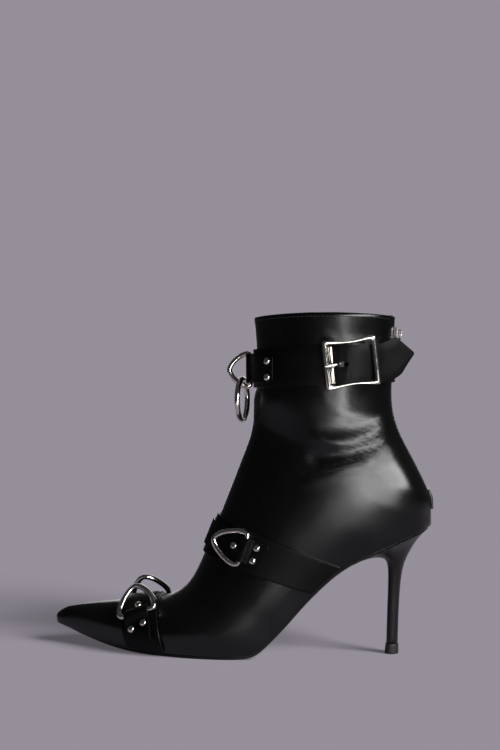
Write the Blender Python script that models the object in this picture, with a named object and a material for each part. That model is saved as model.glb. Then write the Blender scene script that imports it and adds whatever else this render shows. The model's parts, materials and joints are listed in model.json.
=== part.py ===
"""Pointed ankle boot with a stiletto heel, three ringed straps and a back zip.

The left boot of a pair. The toe points along -X, the outer side faces -Y and the boot stands on z = 0.
Sizes are in millimetres here and are turned into metres when a mesh is made.
"""

import math
from collections import namedtuple

import bpy
import bmesh
from mathutils import Matrix, Vector

MM = 0.001
GAP = 0.3

# Driving sizes of the leather and sole
WALL = 1.6
STRAP_THICK = 1.5
BELT_THICK = 1.8
TAB_THICK = 1.2
TAB_WIDTH = 16.0
INSOLE_THICK = 1.5
SOLE_MARGIN = 0.5
SLIT_HALF = 3.0
NOSE_WALL = 1.9
EDGE_WALL_SHARE = 0.75

# The last: one row for each section, from the toe to the collar. A section runs from the ridge of the boot
# (vamp, instep, shin) to its base (sole edge, heel back). It is widest at the level, a share of that way.
Station = namedtuple(
    "Station",
    "ridge_x ridge_z base_x base_z out_half in_half out_edge in_edge level spine round_top round_low",
)
LAST = [
    Station(-128.8, 20.2, -128.4, 17.6, 0.0, 0.0, 0.0, 0.0, 0.55, 6.0, 2.0, 2.0),
    Station(-127.6, 22.4, -126.6, 16.9, 2.9, 2.9, 2.3, 2.3, 0.55, 6.0, 2.0, 2.0),
    Station(-123.5, 23.9, -121.8, 15.7, 6.2, 6.2, 5.2, 5.2, 0.60, 5.8, 2.0, 2.0),
    Station(-113.5, 26.0, -110.5, 12.7, 11.2, 11.2, 9.8, 9.8, 0.64, 5.4, 1.9, 2.0),
    Station(-100.0, 28.0, -95.5, 8.8, 17.2, 17.2, 15.4, 15.4, 0.66, 4.6, 1.9, 2.0),
    Station(-85.0, 29.6, -79.0, 5.0, 23.6, 23.4, 21.4, 21.0, 0.68, 3.6, 1.9, 2.0),
    Station(-70.5, 31.3, -64.0, 3.3, 29.4, 29.0, 26.8, 26.2, 0.70, 2.6, 1.9, 2.0),
    Station(-57.5, 33.2, -49.0, 3.3, 33.8, 33.2, 31.2, 30.3, 0.70, 1.8, 1.9, 2.0),
    Station(-48.8, 36.2, -32.0, 3.3, 36.8, 35.8, 34.3, 32.8, 0.70, 1.2, 1.9, 2.0),
    Station(-42.5, 40.7, -14.0, 3.3, 37.8, 36.0, 35.0, 32.0, 0.69, 0.8, 1.9, 2.0),
    Station(-38.0, 46.0, 4.0, 4.6, 36.4, 33.8, 33.0, 28.0, 0.67, 0.5, 1.95, 2.0),
    Station(-34.2, 52.9, 20.0, 17.2, 34.0, 31.4, 29.6, 24.2, 0.65, 0.3, 2.0, 2.0),
    Station(-30.5, 61.0, 39.0, 38.2, 31.8, 29.6, 26.6, 21.8, 0.62, 0.0, 2.0, 2.0),
    Station(-25.0, 74.3, 50.0, 48.9, 31.0, 29.2, 25.6, 21.6, 0.60, 0.0, 2.0, 2.1),
    Station(-19.4, 88.2, 60.5, 58.1, 30.9, 29.5, 25.4, 22.6, 0.58, 0.0, 2.0, 2.2),
    Station(-13.5, 103.0, 75.0, 66.3, 31.2, 30.2, 26.0, 24.6, 0.57, 0.0, 2.0, 2.3),
    Station(-8.0, 117.5, 90.0, 73.1, 31.7, 31.0, 26.2, 25.4, 0.56, 0.0, 2.0, 2.4),
    Station(-3.4, 129.5, 103.5, 78.9, 32.1, 31.5, 21.8, 21.3, 0.55, 0.0, 2.05, 2.5),
    Station(-1.0, 136.0, 112.2, 82.3, 32.3, 31.8, 13.6, 13.3, 0.54, 0.0, 2.1, 2.5),
    Station(0.6, 141.6, 116.3, 84.2, 32.4, 32.0, 0.0, 0.0, 0.54, 0.0, 2.1, 2.5),
    Station(1.5, 146.0, 117.3, 94.2, 32.5, 32.1, 0.0, 0.0, 0.53, 0.0, 2.1, 2.4),
    Station(1.9, 149.4, 115.9, 101.5, 32.6, 32.2, 0.0, 0.0, 0.53, 0.0, 2.1, 2.4),
    Station(2.2, 154.0, 109.3, 116.3, 32.7, 32.4, 0.0, 0.0, 0.52, 0.0, 2.1, 2.3),
    Station(2.4, 159.0, 101.0, 131.8, 32.9, 32.6, 0.0, 0.0, 0.51, 0.0, 2.1, 2.2),
    Station(2.5, 163.0, 93.9, 146.0, 33.1, 32.9, 0.0, 0.0, 0.50, 0.0, 2.1, 2.2),
    Station(3.2, 166.4, 91.2, 160.0, 33.5, 33.3, 0.0, 0.0, 0.50, 0.0, 2.1, 2.2),
    Station(4.4, 169.8, 91.6, 173.5, 33.7, 33.5, 0.0, 0.0, 0.50, 0.0, 2.1, 2.2),
    Station(4.2, 194.4, 92.6, 198.0, 34.3, 34.1, 0.0, 0.0, 0.50, 0.0, 2.1, 2.2),
    Station(2.4, 216.8, 93.8, 216.8, 35.0, 34.8, 0.0, 0.0, 0.50, 0.0, 2.1, 2.2),
]
HEEL_BACK_ROW = 19
SLIT_START_ROW = 20
STRAP_LOW_ROW = 26
STRAP_HIGH_ROW = 27
TOP_SHARE = 0.58


def station_keys():
    """Running distance of each station, the mean of the way along the ridge and along the base."""
    keys = [0.0]
    for before, after in zip(LAST, LAST[1:]):
        ridge = math.hypot(after.ridge_x - before.ridge_x, after.ridge_z - before.ridge_z)
        base = math.hypot(after.base_x - before.base_x, after.base_z - before.base_z)
        keys.append(keys[-1] + (ridge + base) / 2)
    return keys


KEYS = station_keys()


def smooth_through(keys, values, key):
    """Smooth curve through the values that never overshoots them (monotone cubic)."""
    key = min(max(key, keys[0]), keys[-1])
    last = len(keys) - 1
    index = next(i for i in range(last) if key <= keys[i + 1] or i == last - 1)

    def rate(i):
        return (values[i + 1] - values[i]) / (keys[i + 1] - keys[i])

    def slope(i):
        if i == 0:
            return rate(0)
        if i == last:
            return rate(last - 1)
        before, after = rate(i - 1), rate(i)
        if before * after <= 0:
            return 0.0
        return 2 * before * after / (before + after)

    span = keys[index + 1] - keys[index]
    t = (key - keys[index]) / span
    start, end = values[index], values[index + 1]
    rise = (2 * t**3 - 3 * t**2 + 1) * start + (3 * t**2 - 2 * t**3) * end
    return rise + span * ((t**3 - 2 * t**2 + t) * slope(index) + (t**3 - t**2) * slope(index + 1))


def section(u):
    return Station(*(smooth_through(KEYS, column, u) for column in zip(*LAST)))


def skin(u, v):
    """Point of the outer leather: v is -1 at the outer sole edge, 0 on the ridge, 1 at the inner edge."""
    cut = section(u)
    half, edge = (cut.out_half, cut.out_edge) if v < 0 else (cut.in_half, cut.in_edge)
    way = abs(v)
    if way <= TOP_SHARE:
        angle = way / TOP_SHARE * math.pi / 2
        width = half * math.sin(angle) ** (2 / cut.round_top)
        share = cut.level * (1 - math.cos(angle) ** (2 / cut.round_top))
    else:
        power = cut.round_low
        full = math.acos(min(1.0, (edge / half) ** (power / 2))) if half > 0 else math.pi / 2
        angle = (way - TOP_SHARE) / (1 - TOP_SHARE) * full
        width = half * max(0.0, math.cos(angle)) ** (2 / power)
        share = cut.level + (1 - cut.level) * (math.sin(angle) / math.sin(full)) ** (2 / power)
    side = math.copysign(width, v)
    x = cut.ridge_x + (cut.base_x - cut.ridge_x) * share
    z = cut.ridge_z + (cut.base_z - cut.ridge_z) * share
    return Vector((x, cut.spine + side, z))


def skin_normal(u, v, step=0.012):
    """Outward direction of the leather, from small steps either way."""
    u_low, u_high = max(u - 0.6, KEYS[0] + 0.4), min(u + 0.6, KEYS[-1])
    v_low, v_high = max(v - step, -1.0), min(v + step, 1.0)
    along = skin(u_high, v) - skin(u_low, v)
    around = skin(u, v_high) - skin(u, v_low)
    return along.cross(around).normalized()


def lifted(u, v, lift):
    return skin(u, v) + skin_normal(u, v) * lift


def v_at_side(u, side):
    """Parameter near the back seam where the leather is the signed distance off the middle."""
    cut = section(u)
    half = cut.out_half if side < 0 else cut.in_half
    share = math.acos((abs(side) / half) ** (cut.round_low / 2)) / (math.pi / 2)
    return math.copysign(TOP_SHARE + (1 - TOP_SHARE) * share, side)


def v_at_arc(u, v, distance):
    """Parameter reached by walking a distance over the leather, along one section, from v."""
    step = math.copysign(0.002, distance)
    walked = 0.0
    here = skin(u, v)
    while walked < abs(distance):
        ahead = skin(u, v + step)
        walked += (ahead - here).length
        here = ahead
        v += step
    return v


def key_between(row, share):
    return KEYS[row] + (KEYS[row + 1] - KEYS[row]) * share


# Materials: colour, roughness and metallic of each finish
FINISHES = {
    "black_leather": ((0.012, 0.011, 0.012), 0.38, 0.0),
    "strap_leather": ((0.013, 0.012, 0.013), 0.42, 0.0),
    "sole_leather": ((0.016, 0.013, 0.013), 0.50, 0.0),
    "heel_cover": ((0.018, 0.015, 0.017), 0.36, 0.0),
    "heel_rubber": ((0.020, 0.019, 0.019), 0.65, 0.0),
    "insole_leather": ((0.030, 0.026, 0.025), 0.60, 0.0),
    "zip_tape": ((0.015, 0.014, 0.015), 0.70, 0.0),
    "polished_nickel": ((0.75, 0.72, 0.68), 0.12, 1.0),
}


def finish(name):
    colour, roughness, metallic = FINISHES[name]
    material = bpy.data.materials.get(name) or bpy.data.materials.new(name)
    material.use_nodes = True
    shader = material.node_tree.nodes["Principled BSDF"]
    shader.inputs["Base Color"].default_value = (*colour, 1.0)
    shader.inputs["Roughness"].default_value = roughness
    shader.inputs["Metallic"].default_value = metallic
    return material


def add_object(name, data, finish_name, place=None):
    """Object under the boot's own empty, at a placement matrix in millimetres."""
    if not data.materials:
        data.materials.append(finish(finish_name))
    thing = bpy.data.objects.new(name, data)
    bpy.context.scene.collection.objects.link(thing)
    thing.parent = bpy.data.objects["boot"]
    if place is not None:
        thing.matrix_local = Matrix.Translation(place.to_translation() * MM) @ place.to_3x3().to_4x4()
    return thing


def mesh_from(name, points, faces, smooth_angle=40):
    """Closed mesh from points in millimetres; equal points are joined and faces are turned outwards."""
    shape = bmesh.new()
    corners = [shape.verts.new(Vector(point) * MM) for point in points]
    for face in faces:
        shape.faces.new([corners[index] for index in face])
    bmesh.ops.remove_doubles(shape, verts=shape.verts, dist=1e-6)
    bmesh.ops.dissolve_degenerate(shape, edges=shape.edges, dist=1e-7)
    bmesh.ops.recalc_face_normals(shape, faces=shape.faces)
    if shape.calc_volume(signed=True) < 0:
        bmesh.ops.reverse_faces(shape, faces=shape.faces)
    mesh = bpy.data.meshes.new(name)
    shape.to_mesh(mesh)
    shape.free()
    mesh.shade_smooth()
    mesh.set_sharp_from_angle(angle=math.radians(smooth_angle))
    return mesh


def shell_mesh(name, outer, inner, side_rim=lambda row: True, first_rim=True):
    """Sheet with thickness: two like grids of points, joined along their borders."""
    rows, columns = len(outer), len(outer[0])
    points = [p for row in outer for p in row] + [p for row in inner for p in row]
    back = rows * columns
    faces = []
    for i in range(rows - 1):
        for j in range(columns - 1):
            a, d = i * columns + j, (i + 1) * columns + j
            b, c = a + 1, d + 1
            faces.append((a, b, c, d))
            faces.append((d + back, c + back, b + back, a + back))
        if side_rim(i):
            for j in (0, columns - 1):
                a, d = i * columns + j, (i + 1) * columns + j
                faces.append((a, d, d + back, a + back))
    for i in ([0] if first_rim else []) + [rows - 1]:
        for j in range(columns - 1):
            a, b = i * columns + j, i * columns + j + 1
            faces.append((a, b, b + back, a + back))
    return mesh_from(name, points, faces)


def loft_mesh(name, loops):
    """Closed solid through like loops of points. Each cap is strips between the loop's two sides."""
    count = len(loops[0])
    points = [p for loop in loops for p in loop]
    faces = []
    for i in range(len(loops) - 1):
        for j in range(count):
            k = (j + 1) % count
            faces.append((i * count + j, i * count + k, (i + 1) * count + k, (i + 1) * count + j))
    for start in (0, (len(loops) - 1) * count):
        for j in range(count // 2):
            strip = (start + j, start + j + 1, start + count - 2 - j, start + count - 1 - j)
            faces.append(strip if strip[1] != strip[2] else strip[:2] + strip[3:])
    return mesh_from(name, points, faces)


# Rows of the upper and sole, in running distance. A span between stations is split where it bends.
SPLIT_SPANS = {9: 2, 10: 3, 11: 3, 12: 2, 17: 2, 18: 3, 26: 2, 27: 2}
SLIT_TAPER = 1.5
SEAT_SPLIT_ROW = 16
SIDE_TOP_STEPS = 8
SIDE_LOW_STEPS = 7


def upper_rows():
    rows = []
    for span in range(len(LAST) - 1):
        parts = SPLIT_SPANS.get(span, 1)
        rows += [key_between(span, part / parts) for part in range(parts)]
        if span == SLIT_START_ROW:
            rows.append(KEYS[span + 1] - SLIT_TAPER)
    return rows + [KEYS[-1]]


ROWS = upper_rows()
SIDE_STEPS = [TOP_SHARE * k / SIDE_TOP_STEPS for k in range(SIDE_TOP_STEPS)]
SIDE_STEPS += [TOP_SHARE + (1 - TOP_SHARE) * k / SIDE_LOW_STEPS for k in range(SIDE_LOW_STEPS + 1)]


def both_sides(side):
    """Parameters round the boot from those of one side, which start on the ridge."""
    return [-v for v in reversed(side[1:])] + list(side)


def edge_slope(u):
    """How fast the sole edge widens along the boot, as the length of its slanted way per step forward."""
    before, after = section(max(u - 1.0, 0.0)), section(min(u + 1.0, KEYS[HEEL_BACK_ROW]))
    run = max(after.base_x - before.base_x, 0.05)
    return math.hypot(1.0, (after.out_edge - before.out_edge) / run)


def split_seat_faces(mesh):
    """Split the slanted faces by the heel seat along their shorter diagonals, so that they don't fold."""
    shape = bmesh.new()
    shape.from_mesh(mesh)
    start = skin(KEYS[SEAT_SPLIT_ROW], 1.0) * MM
    top = skin(KEYS[SLIT_START_ROW], 1.0) * MM
    middles = {face: face.calc_center_median() for face in shape.faces}
    near = [face for face, middle in middles.items() if middle.x > start.x and middle.z < top.z]
    bmesh.ops.triangulate(shape, faces=near, quad_method="SHORT_EDGE")
    shape.to_mesh(mesh)
    shape.free()


def upper():
    heel_back, slit_start = KEYS[HEEL_BACK_ROW], KEYS[SLIT_START_ROW + 1] - SLIT_TAPER
    outer, inner = [], []
    for u in ROWS:
        slit = u > slit_start + 0.1
        reach = abs(v_at_side(u, -SLIT_HALF)) if slit else 1.0
        around = both_sides(SIDE_STEPS[:-1] + [reach])
        outer.append([skin(u, v) for v in around])
        inner.append([lifted(u, v, -WALL) for v in around])
        cut = section(u)
        if u == 0.0:
            inner[-1] = [point + Vector((NOSE_WALL, 0, 0)) for point in outer[-1]]
        elif u < heel_back - 0.1:
            wall = min(WALL * edge_slope(u), EDGE_WALL_SHARE * cut.out_edge)
            inner[-1][0] = outer[-1][0] + Vector((0, wall, 0))
            inner[-1][-1] = outer[-1][-1] - Vector((0, wall, 0))
        elif not slit:
            middle = skin(u, 1.0)
            straight = skin_normal(u, 1.0) + skin_normal(u, -1.0)
            straight.y = 0.0
            for end in (0, -1):
                outer[-1][end] = middle.copy()
                inner[-1][end] = middle - straight.normalized() * WALL
    closed = [heel_back - 0.1 < u < slit_start + 0.1 for u in ROWS]
    mesh = shell_mesh(
        "upper", outer, inner, side_rim=lambda row: not (closed[row] and closed[row + 1]), first_rim=False
    )
    split_seat_faces(mesh)
    return add_object("upper", mesh, "black_leather")


# Sole: vertical thickness along the boot
SOLE_X = (-128.4, -64.0, -14.0, 20.0, 39.0, 60.5, 116.3)
SOLE_THICK = (2.3, 3.0, 3.0, 3.4, 3.3, 2.5, 1.9)
SOLE_MARGIN_MOST = 1.2
SOLE_TIP_HALF, SOLE_BACK_HALF = 0.6, 3.0
INSOLE_LEAST_HALF = 3.0
INSOLE_CLEAR = 1.2


def sole_thickness(x):
    return smooth_through(SOLE_X, SOLE_THICK, x)


def plate_mesh(name, rows):
    """Curved plate across the boot: rows of x, outer edge y, inner edge y, lower z and upper z."""
    across = (0.0, 0.25, 0.5, 0.75, 1.0)
    low, high = [], []
    for x, y_out, y_in, z_low, z_high in rows:
        low.append([Vector((x, y_out + (y_in - y_out) * share, z_low)) for share in across])
        high.append([Vector((x, y_out + (y_in - y_out) * share, z_high)) for share in across])
    return shell_mesh(name, high, low)


def sole_row(u):
    cut = section(u)
    margin = min(SOLE_MARGIN * edge_slope(u), SOLE_MARGIN_MOST)
    top = cut.base_z - GAP
    bottom = top - sole_thickness(cut.base_x)
    return cut.base_x, cut.spine - cut.out_edge - margin, cut.spine + cut.in_edge + margin, bottom, top


def outsole():
    rows = [sole_row(u) for u in ROWS if 0.0 < u < KEYS[HEEL_BACK_ROW] - 0.1]
    tip, back = section(0.0), section(KEYS[HEEL_BACK_ROW])
    for end, shift, place in ((tip, -SOLE_MARGIN, 0), (back, SOLE_MARGIN, len(rows) + 1)):
        top = end.base_z - GAP
        blunt = SOLE_TIP_HALF if shift < 0 else SOLE_BACK_HALF
        bottom = top - sole_thickness(end.base_x)
        rows.insert(place, (end.base_x + shift, end.spine - blunt, end.spine + blunt, bottom, top))
    return add_object("outsole", plate_mesh("outsole", rows), "sole_leather")


def insole():
    rows = []
    for u in ROWS:
        cut = section(u)
        inset = (WALL + INSOLE_CLEAR) * edge_slope(u)
        if u > KEYS[HEEL_BACK_ROW - 1] or cut.in_edge - inset < INSOLE_LEAST_HALF:
            continue
        y_out, y_in = cut.spine - cut.out_edge + inset, cut.spine + cut.in_edge - inset
        rows.append((cut.base_x, y_out, y_in, cut.base_z, cut.base_z + INSOLE_THICK))
    return add_object("insole", plate_mesh("insole", rows), "insole_leather")


# Heel: one row for each section, from the tip up to the seat
HeelCut = namedtuple("HeelCut", "front_x front_z back_x back_z half seat_share")
TOP_PIECE_HEIGHT = 6.3
HEEL = [
    HeelCut(87.9, TOP_PIECE_HEIGHT + GAP, 95.5, TOP_PIECE_HEIGHT + GAP, 4.2, 0.0),
    HeelCut(88.3, 20.0, 95.8, 20.0, 4.2, 0.0),
    HeelCut(88.8, 35.0, 96.5, 36.0, 4.7, 0.0),
    HeelCut(89.1, 46.0, 97.5, 48.0, 5.6, 0.0),
    HeelCut(89.1, 54.0, 99.2, 57.0, 7.2, 0.0),
    HeelCut(88.2, 59.3, 102.0, 63.3, 9.8, 0.1),
    HeelCut(85.5, 61.8, 105.8, 70.0, 14.0, 0.3),
    HeelCut(79.0, 62.4, 109.6, 75.2, 19.0, 0.6),
    HeelCut(71.0, 60.6, 113.0, 78.7, 23.0, 0.85),
    HeelCut(63.5, 0.0, 115.9, 0.0, 25.8, 1.0),
]
HEEL_STEPS = (0.0, 0.14, 0.3, 0.5, 0.68, 0.82, 0.93, 1.0)
STEM_FRONT = 0.55
STEM_WIDEST = 0.45
SEAT_INSET = 0.3


def u_at_base(x):
    """Running distance where the sole edge is at x, found by halving."""
    low, high = 0.0, KEYS[HEEL_BACK_ROW]
    for _ in range(40):
        middle = (low + high) / 2
        low, high = (middle, high) if section(middle).base_x < x else (low, middle)
    return (low + high) / 2


def stem_shape(q):
    """Half-width of the heel's stem from its flat front to its round back, as a share of the widest."""
    if q < STEM_WIDEST:
        return 1 - (1 - STEM_FRONT) * ((STEM_WIDEST - q) / STEM_WIDEST) ** 2
    return math.sqrt(max(0.0, 1 - ((q - STEM_WIDEST) / (1 - STEM_WIDEST)) ** 2))


def heel_loop(cut):
    """Loop of a heel section: back along the outer side from the breast, and home on the inner side."""
    sides = {-1: [], 1: []}
    seat = HEEL[-1]
    for q in HEEL_STEPS:
        x = cut.front_x + (cut.back_x - cut.front_x) * q
        z = cut.front_z + (cut.back_z - cut.front_z) * q
        edge_x = seat.front_x + (seat.back_x - seat.front_x) * q
        edge = section(u_at_base(edge_x))
        if cut is seat:
            z = edge.base_z - sole_thickness(edge_x) - 2 * GAP
        for side in sides:
            seat_half = (edge.out_edge if side < 0 else edge.in_edge) - SEAT_INSET
            seat_shape = seat_half / seat.half if q < 1.0 else 0.0
            shape = stem_shape(q) * (1 - cut.seat_share) + seat_shape * cut.seat_share
            sides[side].append(Vector((x, side * cut.half * max(shape, 0.0), z)))
    return sides[-1] + list(reversed(sides[1]))[1:]


def heel():
    mesh = loft_mesh("heel", [heel_loop(cut) for cut in HEEL])
    return add_object("heel", mesh, "heel_cover")


def top_piece():
    tread = HeelCut(86.9, 0.0, 95.8, 0.0, 4.6, 0.0)
    crown = HeelCut(87.6, TOP_PIECE_HEIGHT, 95.7, TOP_PIECE_HEIGHT, 4.4, 0.0)
    mesh = loft_mesh("top_piece", [heel_loop(tread), heel_loop(crown)])
    return add_object("top_piece", mesh, "heel_rubber")


# Back zip: a tape behind the leather with its closed teeth standing in the slit
ZIP_TEETH_HALF = 2.6
ZIP_TAPE_HALF = 9.0
ZIP_TAPE_THICK = 0.7
ZIP_END_CLEAR = 1.0


def zip_closure():
    face = -(WALL + GAP)
    back = face - ZIP_TAPE_THICK
    profile = [
        (-ZIP_TAPE_HALF, face),
        (-ZIP_TEETH_HALF, face),
        (-ZIP_TEETH_HALF, -GAP),
        (ZIP_TEETH_HALF, -GAP),
        (ZIP_TEETH_HALF, face),
        (ZIP_TAPE_HALF, face),
        (ZIP_TAPE_HALF, back),
        (ZIP_TEETH_HALF, back),
        (-ZIP_TEETH_HALF, back),
        (-ZIP_TAPE_HALF, back),
    ]
    start = KEYS[SLIT_START_ROW + 1]
    rows = [start + ZIP_END_CLEAR] + [u for u in ROWS if start < u < KEYS[-1]] + [KEYS[-1] - ZIP_END_CLEAR]
    loops = [[lifted(u, v_at_side(u, side), lift) for side, lift in profile] for u in rows]
    count = len(profile)
    points = [p for loop in loops for p in loop]
    faces = []
    for i in range(len(loops) - 1):
        for j in range(count):
            k = (j + 1) % count
            faces.append((i * count + j, i * count + k, (i + 1) * count + k, (i + 1) * count + j))
    for start_index in (0, (len(loops) - 1) * count):
        for quad in ((0, 1, 8, 9), (1, 2, 3, 4), (1, 4, 7, 8), (4, 5, 6, 7)):
            faces.append(tuple(start_index + index for index in quad))
    return add_object("zip", mesh_from("zip", points, faces), "zip_tape")


# Zip slider near the collar, with two ears, and the pull that hangs between them
SLIDER_HEIGHT = 203.8
SLIDER_HALF_LONG = 4.6
SLIDER_PLATE = 1.7
EAR_LOW, EAR_HIGH = 0.0, 3.4
EAR_IN, EAR_OUT = 1.8, 3.0
EAR_TALL = 3.0
SLIDER_HALF_WIDE = 4.0
PULL_THICK = 1.2
PULL_LONG = 19.0
PULL_HALF_WIDE = 3.0
PULL_NECK = 3.4
PULL_SHOULDER = 1.6
PULL_HEAD = 1.0
PIN_SHARE = 0.55


def back_frame(height):
    """Place on the back seam at a height: columns up the seam, across to the outer side, and outwards."""
    low, high = KEYS[STRAP_HIGH_ROW], KEYS[-1]
    for _ in range(40):
        middle = (low + high) / 2
        low, high = (middle, high) if skin(middle, 1.0).z < height else (low, middle)
    across = Vector((0, -1, 0))
    up = (skin(low + 1.0, 1.0) - skin(low - 1.0, 1.0)).normalized()
    out = up.cross(across)
    return Matrix.Translation(skin(low, 1.0)) @ Matrix((up, across, out)).transposed().to_4x4()


def zip_slider():
    ups = (-SLIDER_HALF_LONG, EAR_LOW, EAR_HIGH, SLIDER_HALF_LONG)
    sides = (-SLIDER_HALF_WIDE, -EAR_OUT, -EAR_IN, EAR_IN, EAR_OUT, SLIDER_HALF_WIDE)
    foot, deck = GAP, GAP + SLIDER_PLATE
    shape = bmesh.new()
    grid = {}
    for level in (foot, deck):
        for i, up in enumerate(ups):
            for j, side in enumerate(sides):
                grid[level, i, j] = shape.verts.new(Vector((up, side, level)) * MM)
    ears = []
    for i in range(len(ups) - 1):
        for j in range(len(sides) - 1):
            corners = ((i, j), (i + 1, j), (i + 1, j + 1), (i, j + 1))
            shape.faces.new([grid[foot, a, b] for a, b in corners])
            top = shape.faces.new([grid[deck, a, b] for a, b in reversed(corners)])
            if i == 1 and j in (1, 3):
                ears.append(top)
    last_up, last_side = len(ups) - 1, len(sides) - 1
    border = [(i, 0) for i in range(last_up)] + [(last_up, j) for j in range(last_side)]
    border += [(i, last_side) for i in range(last_up, 0, -1)] + [(0, j) for j in range(last_side, 0, -1)]
    for (i, j), (k, m) in zip(border, border[1:] + border[:1]):
        shape.faces.new((grid[foot, i, j], grid[foot, k, m], grid[deck, k, m], grid[deck, i, j]))
    raised = bmesh.ops.extrude_discrete_faces(shape, faces=ears)
    for face in raised["faces"]:
        bmesh.ops.translate(shape, verts=face.verts, vec=(0, 0, EAR_TALL * MM))
    bmesh.ops.recalc_face_normals(shape, faces=shape.faces)
    mesh = bpy.data.meshes.new("zip_slider")
    shape.to_mesh(mesh)
    shape.free()
    return add_object("zip_slider", mesh, "polished_nickel", back_frame(SLIDER_HEIGHT))


def zip_pull():
    """Flat pull, hanging straight down from its axis between the slider's ears."""
    slider = back_frame(SLIDER_HEIGHT)
    axis_up, axis_out = (EAR_LOW + EAR_HIGH) / 2, GAP + SLIDER_PLATE + PIN_SHARE * EAR_TALL
    pin = slider @ Vector((axis_up, 0, axis_out))
    neck = EAR_IN - GAP
    outline = [(PULL_HEAD, 0.7 * neck), (0.3, neck), (-PULL_NECK, neck)]
    outline.append((-PULL_NECK - PULL_SHOULDER, PULL_HALF_WIDE))
    for step in range(5):
        turn = math.pi / 2 * step / 4
        tip = -PULL_LONG + PULL_HALF_WIDE * (1 - math.sin(turn))
        outline.append((tip, PULL_HALF_WIDE * math.cos(turn) if step < 4 else 0.0))
    loops = []
    for x in (-PULL_THICK / 2, PULL_THICK / 2):
        near = [Vector((x, -side, up)) for up, side in outline]
        far = [Vector((x, side, up)) for up, side in outline]
        loops.append(near + list(reversed(far))[1:])
    return add_object("zip_pull", loft_mesh("zip_pull", loops), "polished_nickel", Matrix.Translation(pin))


# Rings of round wire
WIRE = 3.0
RING_HALF_WIDE = 10.8
RING_DEEP = 20.5
RING_SIDES = 6
RING_BAR = 0.78
# Half of a D-ring's arch, as shares of its depth and of its half-width
ArchSpot = namedtuple("ArchSpot", "deep wide")
ARCH = [
    ArchSpot(0.03, 0.91),
    ArchSpot(0.11, 0.99),
    ArchSpot(0.26, 0.98),
    ArchSpot(0.43, 0.88),
    ArchSpot(0.60, 0.73),
    ArchSpot(0.76, 0.55),
    ArchSpot(0.89, 0.35),
    ArchSpot(0.97, 0.16),
]


def wire_object(name, points, place):
    """Closed ring of round wire through points in its own plane."""
    curve = bpy.data.curves.new(name, "CURVE")
    curve.dimensions = "3D"
    curve.bevel_depth = WIRE / 2 * MM
    curve.bevel_resolution = (RING_SIDES - 4) // 2
    line = curve.splines.new("POLY")
    line.points.add(len(points) - 1)
    for spot, (x, y) in zip(line.points, points):
        spot.co = (x * MM, y * MM, 0.0, 1.0)
    line.use_cyclic_u = True
    line.use_smooth = True
    return add_object(name, curve, "polished_nickel", place)


def d_ring(name, place, deep):
    """D-ring: its straight bar lies on the y axis and its arch reaches along x."""
    wide = RING_HALF_WIDE
    points = [(0.0, -wide * share) for share in (-RING_BAR, 0.0, RING_BAR)]
    points += [(deep * spot.deep, -wide * spot.wide) for spot in ARCH] + [(deep, 0.0)]
    points += [(deep * spot.deep, wide * spot.wide) for spot in reversed(ARCH)]
    return wire_object(name, points, place)


def frame_matrix(origin, x_axis, y_axis):
    x_axis = x_axis.normalized()
    z_axis = x_axis.cross(y_axis).normalized()
    y_axis = z_axis.cross(x_axis)
    return Matrix.Translation(origin) @ Matrix((x_axis, y_axis, z_axis)).transposed().to_4x4()


# Straps that run from sole edge to sole edge over the ridge, and the tab that holds two rings on each
StrapPlan = namedtuple("StrapPlan", "name u_low u_high u_tab v_bar tab_end stand_out stand_in")
INSTEP = StrapPlan("instep", 152.6, 178.0, 165.8, 0.405, 13.5, 8.0, 8.0)
TOE = StrapPlan("toe", 50.6, 76.0, 63.0, 0.335, 14.5, 8.0, 16.0)
# Rivets of a tab: shift along the boot, and distance behind the ring's bar
STRAP_RIVETS = ((0.0, -6.8), (4.3, 7.4), (-4.3, 7.4))
STRAP_END = 0.985
STRAP_ROWS = 4
TAB_ROWS = 3
BAR_LIFT = 2 * GAP + STRAP_THICK + WIRE / 2
HUMP_FLAT = 1.6
HUMP_HALF = 4.8
HUMP_STEPS = (1.2, 2.4, 3.6, 4.8, 6.2)
TAB_CORNER = 0.86


def band_mesh(name, u_low, u_high, rows, around, low_lift, high_lift):
    """Strip of leather on the boot between two running distances; the lifts are functions of u and v."""
    outer, inner = [], []
    for row in range(rows + 1):
        share = row / rows
        spots = [(u_low(v) + (u_high(v) - u_low(v)) * share, v) for v in around]
        outer.append([lifted(u, v, high_lift(u, v)) for u, v in spots])
        inner.append([lifted(u, v, low_lift(u, v)) for u, v in spots])
    return shell_mesh(name, outer, inner)


def strap(plan):
    around = both_sides(SIDE_STEPS[:-1] + [STRAP_END])
    mesh = band_mesh(
        plan.name + "_strap",
        lambda v: plan.u_low,
        lambda v: plan.u_high,
        STRAP_ROWS,
        around,
        lambda u, v: GAP,
        lambda u, v: GAP + STRAP_THICK,
    )
    return add_object(plan.name + "_strap", mesh, "strap_leather")


def hump(distance, rise):
    """Rise of a tab where it passes over a ring's bar."""
    share = (distance - HUMP_FLAT) / (HUMP_HALF - HUMP_FLAT)
    return rise * (0.5 + 0.5 * math.cos(math.pi * min(max(share, 0.0), 1.0)))


def bar_frame(plan, side):
    """Place on the leather under a ring's bar: columns towards the ridge, along the bar, and outwards."""
    v = math.copysign(plan.v_bar, side)
    out = skin_normal(plan.u_tab, v)
    uphill = skin(plan.u_tab, v * 0.95) - skin(plan.u_tab, v * 1.05)
    return frame_matrix(skin(plan.u_tab, v), uphill, out.cross(uphill))


def v_off_bar(plan, side, u, distance):
    """Parameter where the leather is the distance downhill of a ring's bar, or uphill if it is negative."""
    to_bar = bar_frame(plan, side).inverted()
    v = math.copysign(plan.v_bar, side)
    step = math.copysign(0.002, distance * side)
    while abs((to_bar @ skin(u, v)).x) < abs(distance):
        v += step
    return v


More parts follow.
